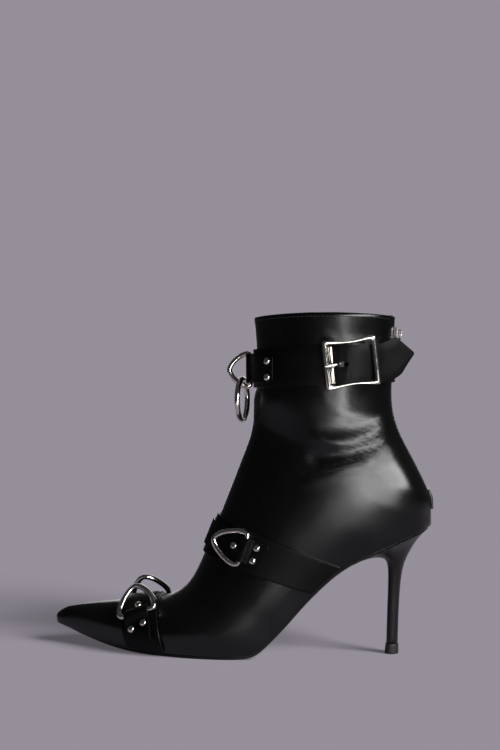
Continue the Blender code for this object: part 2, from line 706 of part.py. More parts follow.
def strap_tab(plan):
    low = 2 * GAP + STRAP_THICK
    rise = BAR_LIFT + WIRE / 2 + GAP - low
    middle = plan.u_tab
    end = v_at_arc(middle, plan.v_bar, plan.tab_end)
    over_bar = [v_at_arc(middle, plan.v_bar, sign * s) for s in HUMP_STEPS for sign in (-1, 1)]
    side = sorted([v for v in SIDE_STEPS if v < end] + over_bar + [plan.v_bar, end])
    around = both_sides(side)

    bars = {side: bar_frame(plan, side).inverted() for side in (-1, 1)}

    def lift(u, v):
        distance = (bars[-1 if v < 0 else 1] @ skin(u, v)).x
        return low + hump(abs(distance), rise)

    def spread(v):
        return TAB_WIDTH / 2 * (TAB_CORNER if abs(v) == end else 1.0)

    mesh = band_mesh(
        plan.name + "_tab",
        lambda v: middle - spread(v),
        lambda v: middle + spread(v),
        TAB_ROWS,
        around,
        lift,
        lambda u, v: lift(u, v) + TAB_THICK,
    )
    return add_object(plan.name + "_tab", mesh, "strap_leather")


def strap_ring(plan, side):
    """Ring on one flank of a strap: bar under the tab, arch towards the ridge, leaning off the leather."""
    stand = plan.stand_out if side < 0 else plan.stand_in
    lean = Matrix.Translation((0, 0, BAR_LIFT)) @ Matrix.Rotation(-math.radians(stand), 4, "Y")
    place = bar_frame(plan, side) @ lean
    return d_ring(plan.name + ("_ring_out" if side < 0 else "_ring_in"), place, RING_DEEP)


# Rivets: low domes on the tabs
RIVET_PROFILE = ((2.15, 0.0), (1.8, 0.8), (0.9, 1.2))
RIVET_SIDES = 8
RIVET_CLEAR = 0.4


def rivet_mesh():
    shape = bmesh.new()
    rings = []
    for radius, height in RIVET_PROFILE:
        turns = [2 * math.pi * k / RIVET_SIDES for k in range(RIVET_SIDES)]
        spots = [Vector((radius * math.cos(a), radius * math.sin(a), height)) * MM for a in turns]
        rings.append([shape.verts.new(spot) for spot in spots])
    for low, high in zip(rings, rings[1:]):
        for k in range(RIVET_SIDES):
            n = (k + 1) % RIVET_SIDES
            shape.faces.new((low[k], low[n], high[n], high[k]))
    shape.faces.new(list(reversed(rings[0])))
    shape.faces.new(rings[-1])
    mesh = bpy.data.meshes.new("rivet")
    shape.to_mesh(mesh)
    shape.free()
    mesh.shade_smooth()
    return mesh


def rivet(name, mesh, u, v, lift):
    out = skin_normal(u, v)
    along = (skin(u + 1.0, v) - skin(u - 1.0, v)).normalized()
    side_way = out.cross(along)
    return add_object(name, mesh, "polished_nickel", frame_matrix(lifted(u, v, lift), side_way, -along))


def strap_rivets(plan, mesh):
    lift = 2 * GAP + STRAP_THICK + TAB_THICK + RIVET_CLEAR
    number = 1
    for side in (-1, 1):
        for shift, distance in STRAP_RIVETS:
            u = plan.u_tab + shift
            rivet("%s_rivet_%d" % (plan.name, number), mesh, u, v_off_bar(plan, side, u, distance), lift)
            number += 1


# Ankle belt: from the buckle's centre bar round the back, inner side and front, and through the buckle
BELT_LOW, BELT_HIGH = KEYS[STRAP_LOW_ROW], KEYS[STRAP_HIGH_ROW]
BELT_MIDDLE = (BELT_LOW + BELT_HIGH) / 2
BUCKLE_V = -0.696
FLAT_LIFT = GAP + BELT_THICK / 2
CHAPE_START = 2.2
FRONT_TAB_V = 0.322
FRONT_STEPS = tuple(TOP_SHARE * k / 16 for k in range(2, 9)) + (FRONT_TAB_V,)
NEAR_SIDE_STEPS = (0.3625, 0.435, 0.51)
SEAM_V = 0.98
# Parameter and middle lift of the belt's end where it goes under the buckle, over its bar and down again
OVER_BUCKLE = (
    (-0.550, 1.3),
    (-0.590, 1.6),
    (-0.605, 1.8),
    (-0.620, 2.0),
    (-0.635, 3.1),
    (-0.665, 4.4),
    (BUCKLE_V, 4.95),
    (-0.730, 4.7),
    (-0.770, 3.9),
    (-0.811, 2 * GAP + 1.5 * BELT_THICK),
)
BUCKLE_TURN = math.radians(-0.4)
TAIL_TURN = math.radians(14.0)
TAIL_RISE = math.radians(10.6)
Tail = namedtuple("Tail", "along low high")
TAIL = [
    Tail(6.0, -12.2, 12.3),
    Tail(12.9, -10.4, 12.8),
    Tail(15.2, -8.3, 13.1),
    Tail(19.0, -4.9, 8.3),
    Tail(25.0, -0.3, 1.3),
]


def buckle_frame():
    """Place on the leather under the buckle's middle: columns along the belt, up it, and outwards."""
    out = skin_normal(BELT_MIDDLE, BUCKLE_V)
    along = skin(BELT_MIDDLE, BUCKLE_V - 0.01) - skin(BELT_MIDDLE, BUCKLE_V + 0.01)
    along = (along - out * along.dot(out)).normalized()
    up = out.cross(along)
    along = along * math.cos(BUCKLE_TURN) + up * math.sin(BUCKLE_TURN)
    return frame_matrix(skin(BELT_MIDDLE, BUCKLE_V), along, up)


def belt_route():
    """Parameter and middle lift at each stop of the belt, up to the buckle's far bar."""
    chape = v_at_arc(BELT_MIDDLE, BUCKLE_V, -CHAPE_START)
    back = [v for v in SIDE_STEPS if -chape < v < SEAM_V] + [SEAM_V]
    far_side = [SEAM_V] + [v for v in reversed(SIDE_STEPS) if FRONT_TAB_V < v < SEAM_V]
    route = [(chape, FLAT_LIFT)] + [(-v, FLAT_LIFT) for v in back]
    route += [(v, FLAT_LIFT) for v in far_side + list(reversed(FRONT_STEPS)) + [0.0]]
    route += [(-v, FLAT_LIFT) for v in FRONT_STEPS + NEAR_SIDE_STEPS]
    return route + list(OVER_BUCKLE)


def ankle_strap():
    half = BELT_THICK / 2
    stops = []
    for v, lift in belt_route():
        loop = [lifted(BELT_LOW, v, lift + half), lifted(BELT_HIGH, v, lift + half)]
        loop += [lifted(BELT_HIGH, v, lift - half), lifted(BELT_LOW, v, lift - half)]
        stops.append(loop)
    frame = buckle_frame().to_3x3()
    along, up, out = frame.col[0], frame.col[1], frame.col[2]
    forward = along * math.cos(TAIL_TURN) - out * math.sin(TAIL_TURN)
    face = out * math.cos(TAIL_TURN) + along * math.sin(TAIL_TURN)
    forward, up = (
        forward * math.cos(TAIL_RISE) + up * math.sin(TAIL_RISE),
        up * math.cos(TAIL_RISE) - forward * math.sin(TAIL_RISE),
    )
    start = sum(stops[-1], Vector()) / 4
    for tail in TAIL:
        base = start + forward * tail.along
        loop = [base + up * tail.low + face * half, base + up * tail.high + face * half]
        loop += [base + up * tail.high - face * half, base + up * tail.low - face * half]
        stops.append(loop)
    points = [p for loop in stops for p in loop]
    faces = []
    for i in range(len(stops) - 1):
        for j in range(4):
            k = (j + 1) % 4
            faces.append((4 * i + j, 4 * i + k, 4 * i + 4 + k, 4 * i + 4 + j))
    faces += [(0, 1, 2, 3), tuple(len(points) - 4 + j for j in range(4))]
    belt = add_object("ankle_strap", mesh_from("ankle_strap", points, faces), "strap_leather")
    cut = belt.modifiers.new("prong_hole", "BOOLEAN")
    cut.operation = "DIFFERENCE"
    cut.object = prong_hole_cutter()
    return belt


# Buckle: waisted frame with a centre bar, and the prong that comes up through the belt
BUCKLE_OUTER = (
    (18.5, 0.0),
    (18.5, 14.3),
    (17.9, 16.0),
    (16.2, 16.6),
    (10.0, 15.5),
    (4.5, 14.5),
    (0.0, 14.3),
)
BUCKLE_INNER = (
    (15.0, 0.0),
    (15.0, 12.1),
    (14.7, 12.8),
    (13.9, 13.1),
    (9.0, 13.1),
    (4.5, 13.0),
    (0.0, 12.95),
)
BUCKLE_LOW, BUCKLE_HIGH = 2.4, 5.8
BUCKLE_LEAN = math.radians(3.2)
CENTRE_BAR_RADIUS = 1.2
CENTRE_BAR_HEIGHT = 2.5
CENTRE_BAR_LONG = 26.8
HOLE_AT = -8.0
HOLE_HALF_LONG, HOLE_HALF_WIDE = 3.6, 1.8
HOLE_CUT_DEEP, HOLE_CUT_HEIGHT = 12.0, 4.0
PRONG_RADIUS = 0.9
PRONG_PATH = ((-3.0, 2.1), (-5.2, 2.4), (-7.4, 4.1), (-9.8, 5.9), (-13.0, 6.5), (-19.2, 6.2))


def ring_of(quarter):
    """Full outline from the points of its first quarter, mirrored both ways."""
    upper_left = [(-x, y) for x, y in reversed(quarter[:-1])]
    top = list(quarter) + upper_left
    return top + [(x, -y) for x, y in reversed(top[1:-1])]


def prong_hole_cutter():
    shape = bmesh.new()
    bmesh.ops.create_cone(shape, cap_ends=True, segments=12, radius1=1.0, radius2=1.0, depth=1.0)
    size = Vector((HOLE_HALF_LONG, HOLE_HALF_WIDE, HOLE_CUT_DEEP)) * MM
    bmesh.ops.scale(shape, verts=shape.verts, vec=size)
    mesh = bpy.data.meshes.new("prong_hole_cutter")
    shape.to_mesh(mesh)
    shape.free()
    place = buckle_frame() @ Matrix.Translation((HOLE_AT, 0, HOLE_CUT_HEIGHT))
    cutter = add_object("prong_hole_cutter", mesh, "strap_leather", place)
    cutter.hide_render = True
    cutter.display_type = "WIRE"
    return cutter


def buckle():
    outer, inner = ring_of(BUCKLE_OUTER), ring_of(BUCKLE_INNER)
    count = len(outer)
    points = []
    for outline in (outer, inner):
        for height in (BUCKLE_LOW, BUCKLE_HIGH):
            points += [Vector((x, y, height + x * math.tan(BUCKLE_LEAN))) for x, y in outline]
    outer_low, outer_high, inner_low, inner_high = (count * level for level in range(4))
    faces = []
    for j in range(count):
        k = (j + 1) % count
        faces.append((outer_low + j, outer_low + k, outer_high + k, outer_high + j))
        faces.append((outer_high + j, outer_high + k, inner_high + k, inner_high + j))
        faces.append((inner_high + j, inner_high + k, inner_low + k, inner_low + j))
        faces.append((inner_low + j, inner_low + k, outer_low + k, outer_low + j))
    frame = add_object("buckle", mesh_from("buckle", points, faces), "polished_nickel", buckle_frame())
    shape = bmesh.new()
    turn = Matrix.Rotation(math.pi / 2, 4, "X")
    bmesh.ops.create_cone(
        shape,
        cap_ends=True,
        segments=8,
        radius1=CENTRE_BAR_RADIUS * MM,
        radius2=CENTRE_BAR_RADIUS * MM,
        depth=CENTRE_BAR_LONG * MM,
        matrix=turn,
    )
    mesh = bpy.data.meshes.new("centre_bar")
    shape.to_mesh(mesh)
    shape.free()
    place = buckle_frame() @ Matrix.Translation((0, 0, CENTRE_BAR_HEIGHT))
    bar = add_object("centre_bar", mesh, "polished_nickel", place)
    bar.hide_render = True
    bar.display_type = "WIRE"
    join = frame.modifiers.new("centre_bar", "BOOLEAN")
    join.operation = "UNION"
    join.object = bar
    return frame


def buckle_prong():
    curve = bpy.data.curves.new("buckle_prong", "CURVE")
    curve.dimensions = "3D"
    curve.bevel_depth = PRONG_RADIUS * MM
    curve.bevel_resolution = 1
    curve.use_fill_caps = True
    line = curve.splines.new("POLY")
    line.points.add(len(PRONG_PATH) - 1)
    for spot, (along, out) in zip(line.points, PRONG_PATH):
        spot.co = (along * MM, 0.0, out * MM, 1.0)
    return add_object("buckle_prong", curve, "polished_nickel", buckle_frame())


# Front tab over the bar of the front ring, and the round ring that hangs on that ring
FRONT_RIVET_V = 0.286
FRONT_RIVET_SPREAD = 4.7
FRONT_RING_DEEP = 14.0
FRONT_BAR_LIFT = 2 * GAP + BELT_THICK + WIRE / 2
HANG_FORWARD = 5.4
HANG_INSET = 1.0
HANG_CLEAR = 0.75
ROUND_RING_RADIUS = 12.5
ROUND_RING_TURN = math.radians(7.0)
ROUND_RING_STEPS = 24


def front_tab():
    low = 2 * GAP + BELT_THICK
    rise = FRONT_BAR_LIFT + WIRE / 2 + GAP - low
    over_bar = [v_at_arc(BELT_MIDDLE, 0.0, s) for s in HUMP_STEPS]
    around = both_sides([0.0] + over_bar + list(FRONT_STEPS))

    def lift(u, v):
        return low + hump((skin(u, v) - skin(u, 0.0)).length, rise)

    def spread(v):
        return TAB_WIDTH / 2 * (TAB_CORNER if abs(v) == FRONT_TAB_V else 1.0)

    mesh = band_mesh(
        "ankle_tab",
        lambda v: BELT_MIDDLE - spread(v),
        lambda v: BELT_MIDDLE + spread(v),
        TAB_ROWS,
        around,
        lift,
        lambda u, v: lift(u, v) + TAB_THICK,
    )
    return add_object("ankle_tab", mesh, "strap_leather")


def front_ring_frame():
    """Place of the front ring's bar: x is the way the ring points, y runs down the bar."""
    bar = lifted(BELT_MIDDLE, 0.0, FRONT_BAR_LIFT)
    tab_low, tab_high = skin(BELT_MIDDLE - TAB_WIDTH / 2, 0.0), skin(BELT_MIDDLE + TAB_WIDTH / 2, 0.0)
    bar.y = section(BELT_MIDDLE).spine
    bar.z = (tab_low.z + tab_high.z) / 2
    return frame_matrix(bar, Vector((-1, 0, 0)), Vector((0, 0, -1)))


def front_ring():
    return d_ring("front_ring", front_ring_frame(), FRONT_RING_DEEP)


def hanging_ring():
    """Round ring hanging on the lower arm of the front ring, facing forward."""
    radius = ROUND_RING_RADIUS
    arm = front_ring_frame() @ Vector((HANG_FORWARD, RING_HALF_WIDE - HANG_INSET, 0))
    centre_drop = radius - WIRE - HANG_CLEAR
    steps = [2 * math.pi * k / ROUND_RING_STEPS for k in range(ROUND_RING_STEPS)]
    points = [(radius * math.cos(a) - centre_drop, radius * math.sin(a)) for a in steps]
    across = Vector((math.sin(ROUND_RING_TURN), math.cos(ROUND_RING_TURN), 0))
    return wire_object("hanging_ring", points, frame_matrix(arm, Vector((0, 0, 1)), across))


def front_rivets(mesh):
    lift = 2 * GAP + BELT_THICK + TAB_THICK + RIVET_CLEAR
    number = 1
    for v in (-FRONT_RIVET_V, FRONT_RIVET_V):
        for shift in (-FRONT_RIVET_SPREAD, FRONT_RIVET_SPREAD):
            rivet("ankle_rivet_%d" % number, mesh, BELT_MIDDLE + shift, v, lift)
            number += 1


def centre_on_floor(boot):
    """Move the whole boot so that its box stands centred over the origin."""
    bpy.context.view_layer.update()
    graph = bpy.context.evaluated_depsgraph_get()
    spots = []
    for thing in bpy.data.objects:
        if thing.type in ("MESH", "CURVE") and not thing.hide_render:
            ready = thing.evaluated_get(graph)
            spots += [ready.matrix_world @ spot.co for spot in ready.to_mesh().vertices]
            ready.to_mesh_clear()
    for axis in (0, 1):
        reach = [spot[axis] for spot in spots]
        boot.location[axis] = -(min(reach) + max(reach)) / 2


def main():
    for thing in list(bpy.data.objects):
        bpy.data.objects.remove(thing, do_unlink=True)
    boot = bpy.data.objects.new("boot", None)
    bpy.context.scene.collection.objects.link(boot)
    upper()
    outsole()
    insole()
    heel()
    top_piece()
    zip_closure()
    zip_slider()
    zip_pull()
    dome = rivet_mesh()
    for plan in (INSTEP, TOE):
        strap(plan)
        strap_tab(plan)
        for side in (-1, 1):
            strap_ring(plan, side)
        strap_rivets(plan, dome)
    ankle_strap()
    buckle()
    buckle_prong()
    front_tab()
    front_ring()
    hanging_ring()
    front_rivets(dome)
    centre_on_floor(boot)


main()
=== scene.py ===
import json
import math

import bmesh
import bpy
import numpy as np
from mathutils import Matrix, Vector
from mathutils.bvhtree import BVHTree
from mathutils.kdtree import KDTree


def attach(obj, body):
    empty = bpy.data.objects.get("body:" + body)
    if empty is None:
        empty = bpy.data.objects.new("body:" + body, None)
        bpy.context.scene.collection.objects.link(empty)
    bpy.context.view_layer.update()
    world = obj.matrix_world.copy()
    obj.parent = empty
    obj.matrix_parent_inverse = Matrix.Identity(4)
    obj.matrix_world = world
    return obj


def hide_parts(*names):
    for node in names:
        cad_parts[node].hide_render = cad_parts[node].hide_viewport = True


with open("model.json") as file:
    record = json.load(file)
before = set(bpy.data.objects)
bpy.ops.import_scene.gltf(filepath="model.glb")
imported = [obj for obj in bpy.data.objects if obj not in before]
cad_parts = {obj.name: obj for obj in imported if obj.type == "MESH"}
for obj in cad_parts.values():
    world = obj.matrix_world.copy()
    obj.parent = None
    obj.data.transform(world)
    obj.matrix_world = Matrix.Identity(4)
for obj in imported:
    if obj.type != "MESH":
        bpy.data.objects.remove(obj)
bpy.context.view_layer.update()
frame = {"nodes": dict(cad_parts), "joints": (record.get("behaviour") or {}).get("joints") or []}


# The upper is thin black calf, drawn over a pointed last with its edges turned under the sole and lined
# with dark leather. Walking has pressed soft folds into it at the ankle and above the stiff heel counter.
MM = 0.001
BOOT_MIDDLE_Y = 3.42 * MM
MERGE_WITHIN = 0.001 * MM
QUAD_BEND, QUAD_SKEW = math.radians(40), math.radians(60)


def take_solid(node, name):
    """Copy a solid's mesh into a new piece, with its loose triangles merged and joined into quads."""
    bpy.ops.object.select_all(action="DESELECT")
    piece = bpy.data.objects.new(name, frame["nodes"][node].data.copy())
    bpy.context.scene.collection.objects.link(piece)
    piece.data.materials.clear()
    bpy.context.view_layer.objects.active = piece
    piece.select_set(True)
    bpy.ops.mesh.customdata_custom_splitnormals_clear()
    bpy.ops.object.mode_set(mode="EDIT")
    bpy.ops.mesh.select_all(action="SELECT")
    bpy.ops.mesh.remove_doubles(threshold=MERGE_WITHIN)
    bpy.ops.mesh.tris_convert_to_quads(face_threshold=QUAD_BEND, shape_threshold=QUAD_SKEW)
    bpy.ops.mesh.select_all(action="DESELECT")
    bpy.ops.object.mode_set(mode="OBJECT")
    return piece


def shape_with(piece, kind, **settings):
    """Add one modifier to a piece and apply it."""
    modifier = piece.modifiers.new(kind, kind)
    for setting, value in settings.items():
        setattr(modifier, setting, value)
    bpy.context.view_layer.objects.active = piece
    bpy.ops.object.modifier_apply(modifier=modifier.name)


def keep_corners(piece, angle, hold):
    """Hold the edges sharper than an angle when the piece is smoothed."""
    shape = bmesh.new()
    shape.from_mesh(piece.data)
    held = shape.edges.layers.float.new("crease_edge")
    for edge in shape.edges:
        if len(edge.link_faces) == 2 and edge.calc_face_angle() > math.radians(angle):
            edge[held] = hold
    shape.to_mesh(piece.data)
    shape.free()


def smooth_over(piece, levels):
    """Round a piece with a subdivision surface and shade it smooth."""
    shape_with(piece, "SUBSURF", levels=levels, render_levels=levels)
    bpy.ops.object.select_all(action="DESELECT")
    piece.select_set(True)
    bpy.ops.object.shade_smooth()


CORNER_ANGLE, EDGE_ANGLE = 30, math.radians(35)


def cut_clean(piece, levels, edge_round):
    """Smooth a piece along its outline, keep its corners, and take the sharpness off its edges."""
    keep_corners(piece, angle=CORNER_ANGLE, hold=1.0)
    smooth_over(piece, levels)
    shape_with(piece, "BEVEL", width=edge_round, segments=2, limit_method="ANGLE", angle_limit=EDGE_ANGLE)
    bpy.ops.object.shade_smooth()


def fit(piece, body, slot, *nodes):
    """Hang a finished piece on its body in place of the solids that it stands for."""
    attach(piece, body)
    if nodes:
        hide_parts(*nodes)


def step(value, low, high):
    """Ease from 0 to 1 between two values."""
    share = np.clip((value - low) / (high - low), 0.0, 1.0)
    return share * share * (3.0 - 2.0 * share)


FAR_OFF, OPEN_END = 1e9, 1e3


def off_line(across, up, line):
    """Return each point's distance to a line, positive below it, and how far past its ends it lies."""
    best = np.full(across.shape, FAR_OFF)
    signed = np.zeros(across.shape)
    past = np.zeros(across.shape)
    for spot, ((x0, z0), (x1, z1)) in enumerate(zip(line, line[1:])):
        run_x, run_z = x1 - x0, z1 - z0
        length = math.hypot(run_x, run_z)
        share = ((across - x0) * run_x + (up - z0) * run_z) / length ** 2
        first, last = spot == 0, spot == len(line) - 2
        clipped = np.clip(share, -OPEN_END if first else 0.0, OPEN_END if last else 1.0)
        gap_x = across - (x0 + clipped * run_x)
        gap_z = up - (z0 + clipped * run_z)
        gap = np.hypot(gap_x, gap_z)
        nearer = gap < best
        side = np.sign(run_z * (across - x0) - run_x * (up - z0))
        over = np.where((share < 0.0) & first, -share * length, 0.0)
        over = np.where((share > 1.0) & last, (share - 1.0) * length, over)
        best = np.where(nearer, gap, best)
        signed = np.where(nearer, gap * side, signed)
        past = np.where(nearer, over, past)
    return signed, past


# A face is lining where the boot has a wall on both sides of a point just off it.
PROBE = 2.0 * MM
upper = take_solid("upper", "upper_leather")
shell = bmesh.new()
shell.from_mesh(upper.data)
wall = BVHTree.FromBMesh(shell)
sideways = Vector((0.0, 1.0, 0.0))
for face in shell.faces:
    probe = face.calc_center_median() + face.normal * PROBE
    between_walls = wall.ray_cast(probe, sideways)[0] and wall.ray_cast(probe, -sideways)[0]
    face.material_index = 1 if between_walls else 0
shell.to_mesh(upper.data)
shell.free()
keep_corners(upper, angle=60, hold=0.8)
smooth_over(upper, levels=2)
mesh = upper.data
count = len(mesh.vertices)
flat = np.empty(count * 3)
mesh.vertices.foreach_get("co", flat)
points = flat.reshape(count, 3).copy()
outside = np.ones(count, bool)
for face in mesh.polygons:
    if face.material_index == 1:
        outside[list(face.vertices)] = False

# The heel counter is one even swell, so the seams between its faces are eased away. Each point goes to the
# plane that fits the leather round it, and the easing comes or goes between each pair of places.
EASE_REACH = 11.0
EASE_ALONG, EASE_LOW, EASE_HIGH, EASE_OFF_SEAM = (20.0, 40.0), (80.0, 90.0), (138.0, 156.0), (6.0, 13.0)
FIT_FRONT, FIT_LOW, FIT_HIGH, FIT_OFF_SEAM = 5.0, 66.0, 172.0, 2.0
across, up = points[:, 0] / MM, points[:, 2] / MM
from_middle = (points[:, 1] - BOOT_MIDDLE_Y) / MM
eased_share = step(across, *EASE_ALONG) * step(up, *EASE_LOW) * (1.0 - step(up, *EASE_HIGH))
eased_share = eased_share * step(np.abs(from_middle), *EASE_OFF_SEAM)
fitted = (across > FIT_FRONT) & (up > FIT_LOW) & (up < FIT_HIGH)
eased = points[:, 1].copy()
for skin in (outside, ~outside):
    for side in (-1.0, 1.0):
        near = np.flatnonzero(skin & fitted & (from_middle * side > FIT_OFF_SEAM))
        places = KDTree(len(near))
        for order, spot in enumerate(near):
            places.insert((across[spot], 0.0, up[spot]), order)
        places.balance()
        for spot in near[eased_share[near] > 0.0]:
            found = places.find_range((across[spot], 0.0, up[spot]), EASE_REACH)
            around = near[[order for place, order, gap in found]]
            weight = (1.0 - np.array([gap for place, order, gap in found]) / EASE_REACH) ** 2
            off_x, off_z = across[around] - across[spot], up[around] - up[spot]
            beside = np.stack((np.ones(len(around)), off_x, off_z), 1)
            plane = np.linalg.lstsq(beside * weight[:, None], points[around, 1] * weight, rcond=None)[0]
            eased[spot] = plane[0]
points[:, 1] += (eased - points[:, 1]) * eased_share

# The lower edge is turned under the sole, so it hides most of the sole's thickness.
TUCK = 1.4
TOE_TUCK = 0.6
TUCK_REACH = 8.0
TOE_TIP, TOE_ROOT = -105.0, -60.0
TOE_MIDDLE_Y = 9.4 * MM
SOLE_FRONT, SOLE_BACK, ABOVE_BOOT = -0.122, 0.118, 0.3
sole_shape = bmesh.new()
sole_shape.from_mesh(frame["nodes"]["outsole"].data)
sole_solid = BVHTree.FromBMesh(sole_shape)
sole_shape.free()
for spot in range(count):
    place = Vector(points[spot])
    nearest = sole_solid.find_nearest(place, TUCK_REACH * MM)
    if nearest[0] is None:
        continue
    at_toe = 1.0 - step(place.x / MM, TOE_TIP, TOE_ROOT)
    middle_y = BOOT_MIDDLE_Y + (TOE_MIDDLE_Y - BOOT_MIDDLE_Y) * at_toe
    over = Vector((max(SOLE_FRONT, min(place.x, SOLE_BACK)), middle_y, ABOVE_BOOT))
    sole_top = sole_solid.ray_cast(over, Vector((0.0, 0.0, -1.0)))
    if sole_top[0] is None:
        continue
    closeness = 1.0 - step(nearest[3] / MM, 0.0, TUCK_REACH)
    points[spot] -= np.array(sole_top[1]) * closeness * (TUCK + TOE_TUCK * at_toe) * MM

# The toe is a little deeper than its solid, and its nose is round.
TOE_DROP = (
    # place along the boot, height of the sole's top in the solid, how far it lies lower
    (-123.1, 17.3, 2.2),
    (-116.0, 15.4, 2.4),
    (-104.7, 12.4, 2.6),
    (-89.7, 8.5, 2.4),
    (-73.2, 4.7, 1.3),
    (-58.2, 3.0, 0.0),
)
DROP_REACH = 9.0
NOSE_OUT = 2.0
NOSE_BEHIND, NOSE_TIP = 112.0, 122.5
NOSE_HEIGHT, NOSE_HALF = 16.7, 6.2
drop_places, sole_tops, drops = np.array(TOE_DROP).T
over_sole = points[:, 2] / MM - np.interp(points[:, 0] / MM, drop_places, sole_tops)
lower = np.interp(points[:, 0] / MM, drop_places, drops)
points[:, 2] -= lower * (1.0 - step(over_sole, 0.0, DROP_REACH)) * MM
nose = np.clip(1.0 - ((points[:, 2] / MM - NOSE_HEIGHT) / NOSE_HALF) ** 2, 0.0, 1.0)
points[:, 0] -= NOSE_OUT * nose * step(-points[:, 0] / MM, NOSE_BEHIND, NOSE_TIP) * MM

# The back half of the shaft is drawn in towards the zip, half as much under the strap. The collar flares a
# little to the sides, and dips at its front and back.
SHAFT_PINCH, STRAP_PINCH_LOSS = 0.10, 0.5
PINCH_ALONG, PINCH_LOW = (58.0, 98.0), (134.0, 156.0)
STRAP_LOW, STRAP_HIGH = (166.0, 176.0), (194.0, 204.0)
across, up = points[:, 0] / MM, points[:, 2] / MM
under_strap = step(up, *STRAP_LOW) * (1.0 - step(up, *STRAP_HIGH))
pinch = SHAFT_PINCH * step(across, *PINCH_ALONG) * step(up, *PINCH_LOW)
pinch = pinch * (1.0 - STRAP_PINCH_LOSS * under_strap)
points[:, 1] -= (points[:, 1] - BOOT_MIDDLE_Y) * pinch
COLLAR_FLARE = 0.4
COLLAR_LOW, COLLAR_TOP, COLLAR_HALF_WIDE = 197.0, 217.0, 33.0
flared = np.clip((points[:, 2] / MM - COLLAR_LOW) / (COLLAR_TOP - COLLAR_LOW), 0.0, 1.0)
points[:, 1] += COLLAR_FLARE * flared * (points[:, 1] - BOOT_MIDDLE_Y) / COLLAR_HALF_WIDE
COLLAR_DIP = 1.7
DIP_LOW, DIP_HIGH = 201.0, 214.0
COLLAR_MIDDLE, COLLAR_HALF = 57.0, 44.0
from_collar = np.clip(np.abs(points[:, 0] / MM - COLLAR_MIDDLE) / COLLAR_HALF, 0.0, 1.0)
points[:, 2] -= COLLAR_DIP * MM * from_collar ** 2 * step(points[:, 2] / MM, DIP_LOW, DIP_HIGH)
mesh.vertices.foreach_set("co", points.reshape(-1))
mesh.update()

# Folds at the ankle, as lines of (x, z) in millimetres seen from the outer side.
FOLDS = (
    # line of the fold, height of the ridge or depth of the trough, half width
    (((57.0, 143.0), (70.7, 144.0), (80.5, 147.0), (90.8, 152.5)), -0.35, 5.0),
    (((52.8, 138.7), (65.2, 136.4), (75.6, 138.2), (85.4, 141.2), (92.7, 146.5)), 0.9, 3.6),
    (((50.3, 126.1), (65.2, 128.8), (75.7, 130.7), (85.4, 134.4), (95.8, 139.5)), -1.2, 3.8),
    (((44.6, 110.4), (54.6, 114.3), (65.2, 118.2), (75.7, 121.4), (85.5, 126.9), (95.8, 133.4)), 0.5, 4.2),
    (((54.8, 166.3), (58.4, 160.1), (63.3, 153.9), (69.5, 150.2), (76.8, 149.5)), 0.3, 2.4),
    (((61.5, 167.5), (65.8, 161.3), (70.7, 155.7), (78.0, 153.5)), -0.3, 2.4),
    (((67.0, 168.0), (67.5, 158.0), (66.5, 149.0)), 0.2, 5.0),
    (((48.6, 213.2), (54.8, 207.0), (59.7, 200.6)), 0.2, 2.6),
    (((54.8, 213.2), (60.4, 207.6), (64.6, 202.1)), -0.2, 2.6),
)
FOLD_END_FADE = 7.0
# Broad swells, as spots of (x, z) in millimetres.
SWELLS = (
    # x, z, reach in x, reach in z, height
    (108.0, 106.0, 10.0, 18.0, 1.5),
)
# Fine wrinkles run side by side with one line each.
WRINKLES = (
    # line that they follow, how far they spread above and below it, and their depth
    (((40.0, 119.0), (50.3, 124.6), (65.2, 127.3), (75.7, 129.2), (85.4, 132.9), (95.8, 138.0)),
     18.0, 14.0, 1.0),
    (((50.0, 174.0), (56.0, 164.0), (63.3, 155.9), (69.5, 152.2), (76.8, 150.5)), 7.0, 7.0, 0.7),
    (((46.0, 216.0), (54.8, 207.0), (62.0, 197.6)), 6.0, 8.0, 0.5),
)
SIDES = (
    # side of the boot, shift of its folds in x and z, strength
    (-1.0, 0.0, 0.0, 1.0),
    (1.0, 3.0, -4.0, 0.85),
)
SEAM_FADE_NEAR, SEAM_FADE_FAR = 4.0, 13.0
flat = np.empty(count * 3)
mesh.vertices.foreach_get("normal", flat)
normals = flat.reshape(count, 3)
across, up = points[:, 0] / MM, points[:, 2] / MM
from_middle = (points[:, 1] - BOOT_MIDDLE_Y) / MM
lift = np.zeros(count)
wrinkle_runs = np.zeros((count, len(WRINKLES)))
wrinkle_shares = np.zeros((count, len(WRINKLES)))
for side, shift_x, shift_z, strength in SIDES:
    here = step(from_middle * side, SEAM_FADE_NEAR, SEAM_FADE_FAR) * strength
    for line, height, half_width in FOLDS:
        gap, past = off_line(across, up, [(x + shift_x, z + shift_z) for x, z in line])
        ends = 1.0 - step(past, 0.0, FOLD_END_FADE)
        lift += here * ends * height * np.exp(-((gap / half_width) ** 2))
    for x, z, reach_x, reach_z, height in SWELLS:
        apart = ((across - x) / reach_x) ** 2 + ((up - z) / reach_z) ** 2
        lift += here * height * np.exp(-apart)
    for order, (line, above, below, depth) in enumerate(WRINKLES):
        gap, past = off_line(across, up, [(x + shift_x, z + shift_z) for x, z in line])
        spread = np.where(gap > 0, below, above)
        share = here * (1.0 - step(past, 0.0, FOLD_END_FADE)) * np.exp(-((gap / spread) ** 2))
        wrinkle_runs[:, order] = np.where(here > 0, gap, wrinkle_runs[:, order])
        wrinkle_shares[:, order] += share * outside * depth
lift *= np.where(outside, 1.0, -1.0)
moved_points = points + normals * lift[:, None] * MM
mesh.vertices.foreach_set("co", moved_points.reshape(-1))
for name, rows in (("wrinkle_runs", wrinkle_runs), ("wrinkle_shares", wrinkle_shares)):
    field = mesh.attributes.new(name, "FLOAT_VECTOR", "POINT")
    field.data.foreach_set("vector", rows.reshape(-1))
mesh.update()


